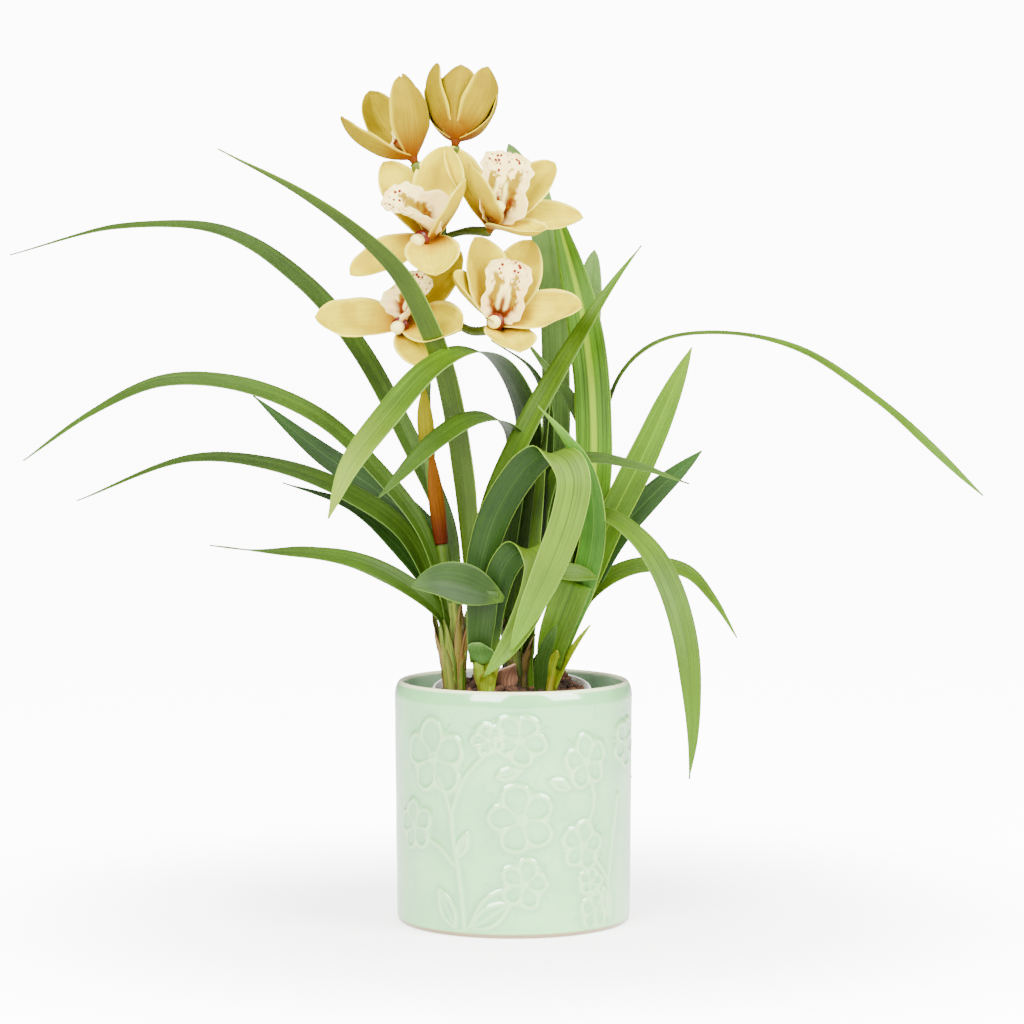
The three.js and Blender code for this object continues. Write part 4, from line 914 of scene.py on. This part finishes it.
def makeStem():
    gather = Gather()
    path, _ = evenly(smoothPath(stem["path"]), 150)
    u = np.linspace(0, 1, 150)
    nodes = sum(np.exp(-((u - place) / 0.008) ** 2) for place in (0.2, 0.4, 0.56, 0.68, 0.78, 0.9))
    addTube(gather, path, spread(stem["radii"], u) + 0.35 * nodes, 24, fresh=0.0)
    for name, way in stem["stalks"].items():
        axis, _, _ = bloomAxes(blooms[name])
        centre = np.array(blooms[name]["centre"], float)
        line, _ = evenly(smoothPath(way + [centre - axis * 4.6]), 40)
        v = np.linspace(0, 1, 40)
        ribs = 1 + 0.06 * np.cos(np.linspace(0, 2 * np.pi, 18, endpoint=False) * 3)[None, :]
        addTube(gather, line, spread(stem["stalkRadii"], v)[:, None] * ribs, 18, fresh=ringMarks(v, 18))
    piece = gather.make("flowerStem", stemFinish())
    stand(piece, "stem", "flower_stem")


def ringMarks(values, sides):  # a mark per ring, and for both end points
    return np.append(np.repeat(values, sides), [values[0], values[-1]])


def stemFinish():
    # Smooth olive stem with a soft bloom, fresher and yellower along the flower stalks.
    material, tree, shader = newMaterial("flowerStemSkin", {
        "Roughness": 0.42, "IOR": 1.42, "Subsurface Weight": 0.12,
        "Subsurface Radius": (0.0015, 0.0015, 0.0005)})
    fresh, = readMarks(tree, "fresh")
    speckle = addNode(tree, "TexNoise", inputs={"Vector": readPlace(tree), "Scale": 240.0, "Detail": 3.0})
    skin = layer(tree, "3A540C", ("506A14", speckle), ("525E08", fresh))
    dress(tree, shader, skin, speckle, 0.15, 0.0003)
    return material


def makeBracts():
    path = smoothPath(stem["path"])
    for name, entry in bracts.items():
        rows, across = 40, 21
        u = np.linspace(0, 1, rows)
        place = blend(entry["start"], entry["end"], u)
        centres, _ = evenly(path, rows, entry["start"], entry["end"])
        along = unit(np.gradient(centres, axis=0))
        wrap = 150 * (1 - u ** 1.6) + 12
        clear = spread(stem["radii"], place) + 0.7
        radius = clear + entry["spread"] * np.sin(u * np.pi * 0.7)
        s = np.linspace(-1, 1, across)
        turn = np.radians(entry["opens"] + s[None, :] * wrap[:, None] * 0.5)
        out = np.stack([np.cos(turn), np.sin(turn), 0 * turn], -1)
        out = unit(out - along[:, None] * dot(out, along[:, None]))
        ripple = 0.12 * np.sin(s * 22)[None, :]
        ripple = ripple + 0.25 * (np.abs(s) ** 3)[None, :] * ease(0.3, 0.8, u)[:, None]
        gather = Gather()
        addSheet(gather, centres[:, None] + out * (radius[:, None] + ripple)[..., None], 0.7)
        stand(gather.make("bract" + name.title(), bractFinish(name, entry)), "bract_" + name, "bract_" + name)


def bractFinish(name, entry):
    # Papery bract: thin dry skin with fine lengthwise fibres, darker where it grips the stem.
    material, tree, shader = newMaterial(name + "Bract", {
        "Roughness": 0.6, "IOR": 1.4, "Specular IOR Level": 0.1, "Subsurface Weight": 0.1,
        "Subsurface Radius": (0.002, 0.0015, 0.0003)})
    uv, _, _, _ = readSheet(tree)
    reach, = readMarks(tree, "reach")
    stretch = addNode(tree, "Mapping", inputs={0: uv, 3: (26.0, 18.0, 1.0)})
    fibre = addNode(tree, "TexNoise", inputs={"Vector": stretch, "Scale": 1.0, "Detail": 4.0})
    skin = layer(tree, entry["skin"], (entry["tip"], (fibre, 0.4, 0.7, 0, 0.8, "LINEAR")),
                 (entry["foot"], (reach, 0.05, 0.55, 0.9, 0)))
    dress(tree, shader, skin, fibre, 0.4, 0.0004)
    return material


# blooms
# faces: bearing and rise of the bloom's axis, -90 being the front. tepals: place round it and lean away.
# curve: how the lean of the tepals changes from root to tip. column, lip: their places and leans.
bloomSize = {"tepal": 56, "tepalWidth": 32, "lip": 38, "lipWidth": 36, "column": 18, "columnRadius": 3.6}
openCurve = [-8, 6, -6]
blooms = {
    "top_right": dict(
        centre=(-36, -2, 491), faces=(60, 78), size=0.92, curve=[42, 0, -42], tone="deep",
        column=dict(place=110, leans=[26, 8, -24]),
        lip=dict(place=290, size=0.55, leans=[8, 10, 16, 26, 40]),
        tepals=[(112, 12), (172, 22), (232, 24), (48, 20), (345, 24)]),
    "top_left": dict(
        centre=(-63, -8, 480), faces=(160, 64), size=0.95, curve=[29, 1, -29], tone="deep",
        column=dict(place=340, leans=[26, 8, -24]),
        lip=dict(place=160, size=0.55, leans=[8, 10, 16, 26, 40]),
        tepals=[(55, 24), (112, 16), (294, 34), (235, 12), (165, 24)]),
    "upper_left": dict(
        centre=(-51, -12, 429), faces=(-95, 50), size=1, curve=openCurve, tone="open",
        column=dict(place=240, leans=[64, 70, 70]),
        lip=dict(place=172, size=1, leans=[24, 36, 50, 62, 76]),
        tepals=[(135, 49), (76, 42), (345, 26), (278, 76), (212, 94)]),
    "upper_right": dict(
        centre=(-14, -6, 437), faces=(-64, 52), size=1, curve=openCurve, tone="open",
        column=dict(place=250, leans=[24, 6, -10]),
        lip=dict(place=72, size=1.15, leans=[14, 20, 28, 40, 60]),
        tepals=[(278, 56), (192, 32), (124, 54), (341, 71), (20, 45)]),
    "lower_right": dict(
        centre=(-10, -14, 376), faces=(-76, 44), size=1, curve=openCurve, tone="open",
        column=dict(place=240, leans=[50, 50, 44]),
        lip=dict(place=72, size=1, leans=[18, 24, 34, 46, 66]),
        tepals=[(182, 38), (122, 36), (59, 46), (340, 56), (272, 60)]),
    "lower_left": dict(
        centre=(-67, -12, 376), faces=(-106, 38), size=1, curve=openCurve, tone="open",
        column=dict(place=270, leans=[54, 50, 44]),
        lip=dict(place=52, size=0.82, leans=[30, 42, 56, 66, 82]),
        tepals=[(187, 74), (100, 112), (51, 68), (333, 66), (305, 74)]),
}


def bloomAxes(bloom):
    bearing, rise = (math.radians(angle) for angle in bloom["faces"])
    axis = np.array([math.cos(bearing) * math.cos(rise), math.sin(bearing) * math.cos(rise), math.sin(rise)])
    high = unit(np.array([0, 0, 1.0]) - axis * axis[2])
    return axis, high, np.cross(high, axis)


def bloomArc(bloom, angle, start, length, opens, steps):  # points leaning away from the bloom's axis
    axis, high, right = bloomAxes(bloom)
    out = right * math.cos(math.radians(angle)) + high * math.sin(math.radians(angle))
    lean = np.radians(spread(opens, (np.arange(steps) + 0.5) / steps))[:, None]
    ways = axis * np.cos(lean) + out * np.sin(lean)
    first = np.array(bloom["centre"], float) + axis * start + out * 1.2
    points = np.vstack([first, first + np.cumsum(ways, axis=0) * length / steps])
    return points, unit(np.gradient(points, axis=0)), np.cross(axis, out)


def makeBlooms():
    finishes = {tone: tepalFinish(tone, values) for tone, values in tepalTones.items()}
    lipSkin, columnSkin = lipFinish(), columnFinish()
    for seed, (name, bloom) in enumerate(blooms.items()):
        words = "".join(w.title() for w in name.split("_"))
        gather = Gather()
        addHeart(gather, bloom)
        for k in range(5):
            addTepal(gather, bloom, k, seed * 5 + k)
        stand(gather.make("tepals" + words, finishes[bloom["tone"]]), "petal", f"bloom_{name}_tepals")
        gather = Gather()
        addLip(gather, bloom, seed)
        stand(gather.make("lip" + words, lipSkin), "lip", f"bloom_{name}_lip")
        gather = Gather()
        addColumn(gather, bloom)
        stand(gather.make("column" + words, columnSkin), "column", f"bloom_{name}_column")


def addHeart(gather, bloom):
    axis, _, _ = bloomAxes(bloom)
    centre = np.array(bloom["centre"], float)
    path, _ = evenly(smoothPath([centre - axis * 4, centre, centre + axis * 2.5]), 12)
    addTube(gather, path, spread([2.3, 3.2, 2.2], np.linspace(0, 1, 12)), 20, heart=1.0)


def addTepal(gather, bloom, k, seed):
    steps, across = 34, 17
    inner = k % 2 == 1
    angle, lean = bloom["tepals"][k]
    opens = [lean + change for change in bloom["curve"]]
    length = bloomSize["tepal"] * bloom["size"]
    points, ways, side = bloomArc(bloom, angle, 2 if inner else -0.5, length, opens, steps)
    u = np.linspace(0, 1, steps + 1)
    shape = taper(u, root=0.28, full=0.52, hold=0.48, power=2.3, round=0.62)
    half = bloomSize["tepalWidth"] / 2 * bloom["size"] * (1.05 if inner else 0.95) * shape + 0.45
    face = np.cross(ways, side)
    s = np.linspace(-1, 1, across)
    v = np.abs(s)
    cup = (v ** 1.4 - 0.4) * 0.42 * half[:, None]
    place = np.stack(np.broadcast_arrays(u[:, None] * length, s[None, :] * 14.0), -1)
    wave = 1.5 * noise(place, 15, seed) * v ** 3 + 0.6 * noise(place, 8, seed + 40) * v ** 4
    groove = -0.5 * np.exp(-(s / 0.1) ** 2) * ease(0.05, 0.4, u)[:, None]
    lift = cup + wave * ease(0.1, 0.5, u)[:, None] + groove
    wide = s * half[:, None] * (1 + 0.03 * noise(place, 18, seed + 20))
    grid = points[:, None] + side * wide[..., None] + face[:, None] * lift[..., None]
    addSheet(gather, grid, 0.8 - 0.25 * np.ones((steps + 1, 1, 1)) * u[:, None, None], heart=0.0)


tepalTones = {
    "open": dict(pale="D6C400", deep="A88A00", base="9A5600", heart="7A4A04", under="A68E00", vein="A08400",
                 edge="FCF064"),
    "deep": dict(pale="A49000", deep="7A6200", base="703000", heart="5E2C08", under="7E6A00", vein="684E00",
                 edge="E0CA28"),
}


def tepalFinish(tone, values):
    # Fleshy petals: satin skin that glows where the light comes through, finely veined, with pale rims partly
    # painted as highlights and orange bases partly painted as shade where the tepals overlap.
    material, tree, shader = newMaterial(tone + "Tepals", {
        "Roughness": 0.55, "IOR": 1.38, "Specular IOR Level": 0.06, "Subsurface Weight": 0.15,
        "Subsurface Radius": (0.003, 0.003, 0.0004)})
    _, along, side, off = readSheet(tree)
    reach, front, heart = readMarks(tree, "reach", "front", "heart")
    lines = addNode(tree, "CombineXYZ", inputs={
        0: weigh(tree, side, (reach, 0, 0.6, 9, 20, "LINEAR")),  # the veins fan out
        1: addNode(tree, "Math", {"operation": "MULTIPLY"}, {0: along, 1: 22.0})})
    vein = addNode(tree, "TexNoise", inputs={"Vector": lines, "Scale": 1.0, "Detail": 2.5})
    cloud = addNode(tree, "TexNoise", inputs={"Vector": readPlace(tree), "Scale": 60.0, "Detail": 2.0})
    skin = layer(tree, values["pale"],
                 (values["deep"], (cloud, 0.35, 0.65, 0, 0.6)),
                 (values["under"], (front, 0, 1, 0.6, 0, "LINEAR")),
                 (values["vein"], (vein, 0.5, 0.72, 0, 0.7, "LINEAR")),
                 # orange toward the base: partly its own colour, partly painted shade where the tepals
                 # overlap
                 (values["base"], (reach, 0.02, 0.5, 0.9, 0)),
                 # pale rims: partly a painted highlight along the edges
                 (values["edge"], (off, 0.82, 1, 0, 0.6)),
                 (values["heart"], heart))
    dress(tree, shader, skin, vein, 0.3, 0.0004)
    return material


def addLip(gather, bloom, seed):
    steps, across = 52, 41
    lip = bloom["lip"]
    size = bloom["size"] * lip["size"]
    points, ways, side = bloomArc(bloom, lip["place"], 4.2, bloomSize["lip"] * size, lip["leans"], steps)
    u = np.linspace(0, 1, steps + 1)
    lobes = spread([0.34, 0.72, 1.02, 1.04, 0.84, 0.9, 0.96, 0.78, 0.3], u)
    curl = spread([1.1, 1.15, 1.1, 0.95, 0.75, 0.6, 0.45, 0.3, 0.2], u)[:, None]
    half = (bloomSize["lipWidth"] / 2 * size * lobes)[:, None]
    face = np.cross(ways, side)
    s = np.linspace(-1, 1, across)[None, :]
    v = np.abs(s)
    spot = np.stack(np.broadcast_arrays(u[:, None] * 42.0, s * 16.0), -1)
    frill = (0.8 * np.sin(s * 17 + u[:, None] * 30 + seed) + 0.45 * np.sin(s * 31 - u[:, None] * 19)) \
        * v ** 4 * ease(0.15, 0.35, u)[:, None]
    tipFrill = 1.1 * np.sin(s * 9 + 1 + seed) * ease(0.8, 1, u)[:, None]
    keels = 1.5 * (np.exp(-((s - 0.16) / 0.07) ** 2) + np.exp(-((s + 0.16) / 0.07) ** 2)) \
        * (ease(0.12, 0.2, u) * ease(0.62, 0.5, u))[:, None]
    lift = s * s * half * curl + frill + tipFrill + keels + 0.3 * noise(spot, 9, seed + 60)
    wide = s * half * (1 - 0.3 * curl * v) * (1 + 0.02 * np.sin(u[:, None] * 41 + seed))
    grid = points[:, None] + side * wide[..., None] + face[:, None] * lift[..., None]
    addSheet(gather, grid, 0.8, keel=np.clip(keels / 1.5, 0, 1))


def window(value, rise, risen, fall, fallen):  # two ramps, for an amount that is 1 between risen and fall
    return (value, rise, risen, 0, 1), (value, fall, fallen, 1, 0)


def lipFinish():
    # The lip: waxy cream flushed pink, yellow bands beside a white ridge, a rusty throat and red spots.
    material, tree, shader = newMaterial("spottedLip", {
        "Roughness": 0.5, "IOR": 1.38, "Specular IOR Level": 0.15, "Subsurface Weight": 0.2,
        "Subsurface Radius": (0.003, 0.0025, 0.0015)})
    place = readPlace(tree)
    _, _, _, off = readSheet(tree)
    reach, keel = readMarks(tree, "reach", "keel")
    cloud = addNode(tree, "TexNoise", inputs={"Vector": place, "Scale": 90.0, "Detail": 2.0})
    ragged = addNode(tree, "TexNoise", inputs={"Vector": place, "Scale": 240.0, "Detail": 2.0})
    stray = weigh(tree, (ragged, 0.3, 0.7, -0.14, 0.14, "LINEAR"))
    offStray, reachStray = (addNode(tree, "Math", {"operation": "ADD"}, {0: value, 1: stray})
                            for value in (off, reach))
    dots = addNode(tree, "TexVoronoi", {"feature": "F1"}, {"Vector": place, "Scale": 340.0})
    skin = layer(tree, "FFF69E", ("FFD28E", cloud),
                 ("8E7600", *window(offStray, 0.06, 0.12, 0.52, 0.7),
                  *window(reachStray, 0.2, 0.3, 0.64, 0.76)),
                 ("6E2C00", *window(reachStray, -0.3, -0.2, 0.24, 0.44),
                  *window(off, -1, -0.9, 0.4, 0.75)),
                 ("FFF49A", keel),
                 ("6A0C08", (dots.outputs["Distance"], 0.3, 0.42, 1, 0),
                  *window(reachStray, 0.72, 0.8, 0.95, 1.05), *window(off, 0.05, 0.15, 0.7, 0.85)))
    dress(tree, shader, skin)
    return material


def addColumn(gather, bloom):
    length = bloomSize["column"] * bloom["size"]
    points, _, _ = bloomArc(bloom, bloom["column"]["place"], 3.2, length, bloom["column"]["leans"], 30)
    u = np.linspace(0, 1, 31)
    places = [0, 0.2, 0.48, 0.56, 0.64, 0.74, 0.88, 0.96, 1]  # the hood swells, then the drop leaves it
    radius = np.interp(u, places, [0.7, 0.9, 1.62, 1.58, 0.95, 1.14, 1.16, 0.9, 0.45])
    radius = bloomSize["columnRadius"] * bloom["size"] * radius
    addTube(gather, points, radius, 24)


def columnFinish():
    # The column: an orange-brown hood with a maroon rim, and out of it a smooth cream drop.
    material, tree, shader = newMaterial("creamColumn", {
        "Roughness": 0.3, "IOR": 1.4, "Subsurface Weight": 0.2, "Subsurface Radius": (0.002, 0.0016, 0.001)})
    reach, = readMarks(tree, "reach")
    cloud = addNode(tree, "TexNoise", inputs={"Vector": readPlace(tree), "Scale": 200.0, "Detail": 2.0})
    skin = layer(tree, "FFF8A8", ("F6E060", cloud), ("8A4A08", (reach, 0.5, 0.56, 0.95, 0)),
                 ("5E1208", *window(reach, 0.46, 0.52, 0.62, 0.67)))
    dress(tree, shader, skin)
    return material


# floor, light and camera
studio = {"floor": "F8F8F6", "nearGlow": 2.6, "farGlow": 11.0, "bounce": 0.5, "world": 0.5, "backdrop": 12.0,
          "cameraAway": 2.1, "cameraHeight": 0.384, "cameraX": -0.0009, "tilt": 86.56, "lens": 117.5}


def makeStage():  # a white floor that glows, dimmer near the pot as a painted soft shadow, glows faintly onto the plant as bounce light, and meets a white background
    rings, around = [0.0, 0.3, 0.6, 1.0, 1.6, 2.5, 4.0, 7.0, 12.0, 25.0], 64
    points = [(0, 0, 0)]
    for r in rings[1:]:
        for k in range(around):
            turn = 2 * math.pi * k / around
            points.append((r * 1000 * math.cos(turn), r * 1000 * math.sin(turn), 0))
    faces = [(0, 1 + k, 1 + (k + 1) % around) for k in range(around)]
    for i in range(len(rings) - 2):
        a, b = 1 + i * around, 1 + (i + 1) * around
        faces += [(a + k, b + k, b + (k + 1) % around, a + (k + 1) % around) for k in range(around)]
    material, tree, shader = newMaterial("litPaperFloor", {
        "Base Color": studio["floor"], "Roughness": 0.9, "Emission Color": "FFFFFF"})
    away = addNode(tree, "VectorMath", {"operation": "LENGTH"}, {0: readPlace(tree)}).outputs["Value"]
    # the glow stays lower near the pot as a painted soft shadow; other rays see a faint glow that lights the
    # plant as bounce light
    glow = weigh(tree, (away, 0.09, 0.5, studio["nearGlow"], studio["farGlow"]))
    seen = addNode(tree, "LightPath").outputs["Is Camera Ray"]
    glow = weigh(tree, (seen, 0, 1, studio["bounce"], glow, "LINEAR"))
    tree.links.new(glow.outputs[0], shader.inputs["Emission Strength"])
    newPiece("litPaperFloor", points, faces, material)


lamps = {  # place and size in metres, power in watts
    "keyLeft": dict(place=(-0.83, -1.62, 1.42), size=(1.2, 1.5), power=138),
    "fillRight": dict(place=(1.47, -1.07, 1.42), size=(1.2, 1.5), power=132),
    "overhead": dict(place=(0.0, 0.3, 2.3), size=(1.6, 1.2), power=25),
}
lampAim = Vector((0, 0, 0.2))


def addLight(name, place, size, power):
    data = bpy.data.lights.new(name, "AREA")
    data.shape, data.size, data.size_y = "RECTANGLE", size[0], size[1]
    data.energy = power
    lamp = bpy.data.objects.new(name, data)
    bpy.context.collection.objects.link(lamp)
    lamp.location = place
    lamp.rotation_euler = (lampAim - Vector(place)).to_track_quat("-Z", "Y").to_euler()


def makeLights():
    world = bpy.data.worlds.new("softStudio")
    world.use_nodes = True
    tree = world.node_tree
    tree.nodes.clear()
    seen = addNode(tree, "LightPath").outputs["Is Camera Ray"]
    strength = weigh(tree, (seen, 0, 1, studio["world"], studio["backdrop"], "LINEAR"))
    white = addNode(tree, "Background", inputs={"Color": "FFFFFF", "Strength": strength})
    addNode(tree, "OutputWorld", inputs={"Surface": white})
    bpy.context.scene.world = world
    for name, lamp in lamps.items():
        addLight(name, **lamp)


def makeCamera():
    data = bpy.data.cameras.new("portrait")
    data.lens, data.sensor_width = studio["lens"], 36
    data.dof.use_dof = False
    camera = bpy.data.objects.new("portrait", data)
    bpy.context.collection.objects.link(camera)
    camera.location = (studio["cameraX"], -studio["cameraAway"], studio["cameraHeight"])
    camera.rotation_euler = (math.radians(studio["tilt"]), 0, 0)
    bpy.context.scene.camera = camera


makePot()
print("glazed pot")
makeNurseryPot()
makeBark()
print("nursery pot and bark")
makeGrowths()
makeLeaves()
print("growths and leaves")
makeStem()
makeBracts()
makeBlooms()
print("flower stem, bracts and blooms")
makeStage()
makeLights()
makeCamera()
print("floor, lights and camera")
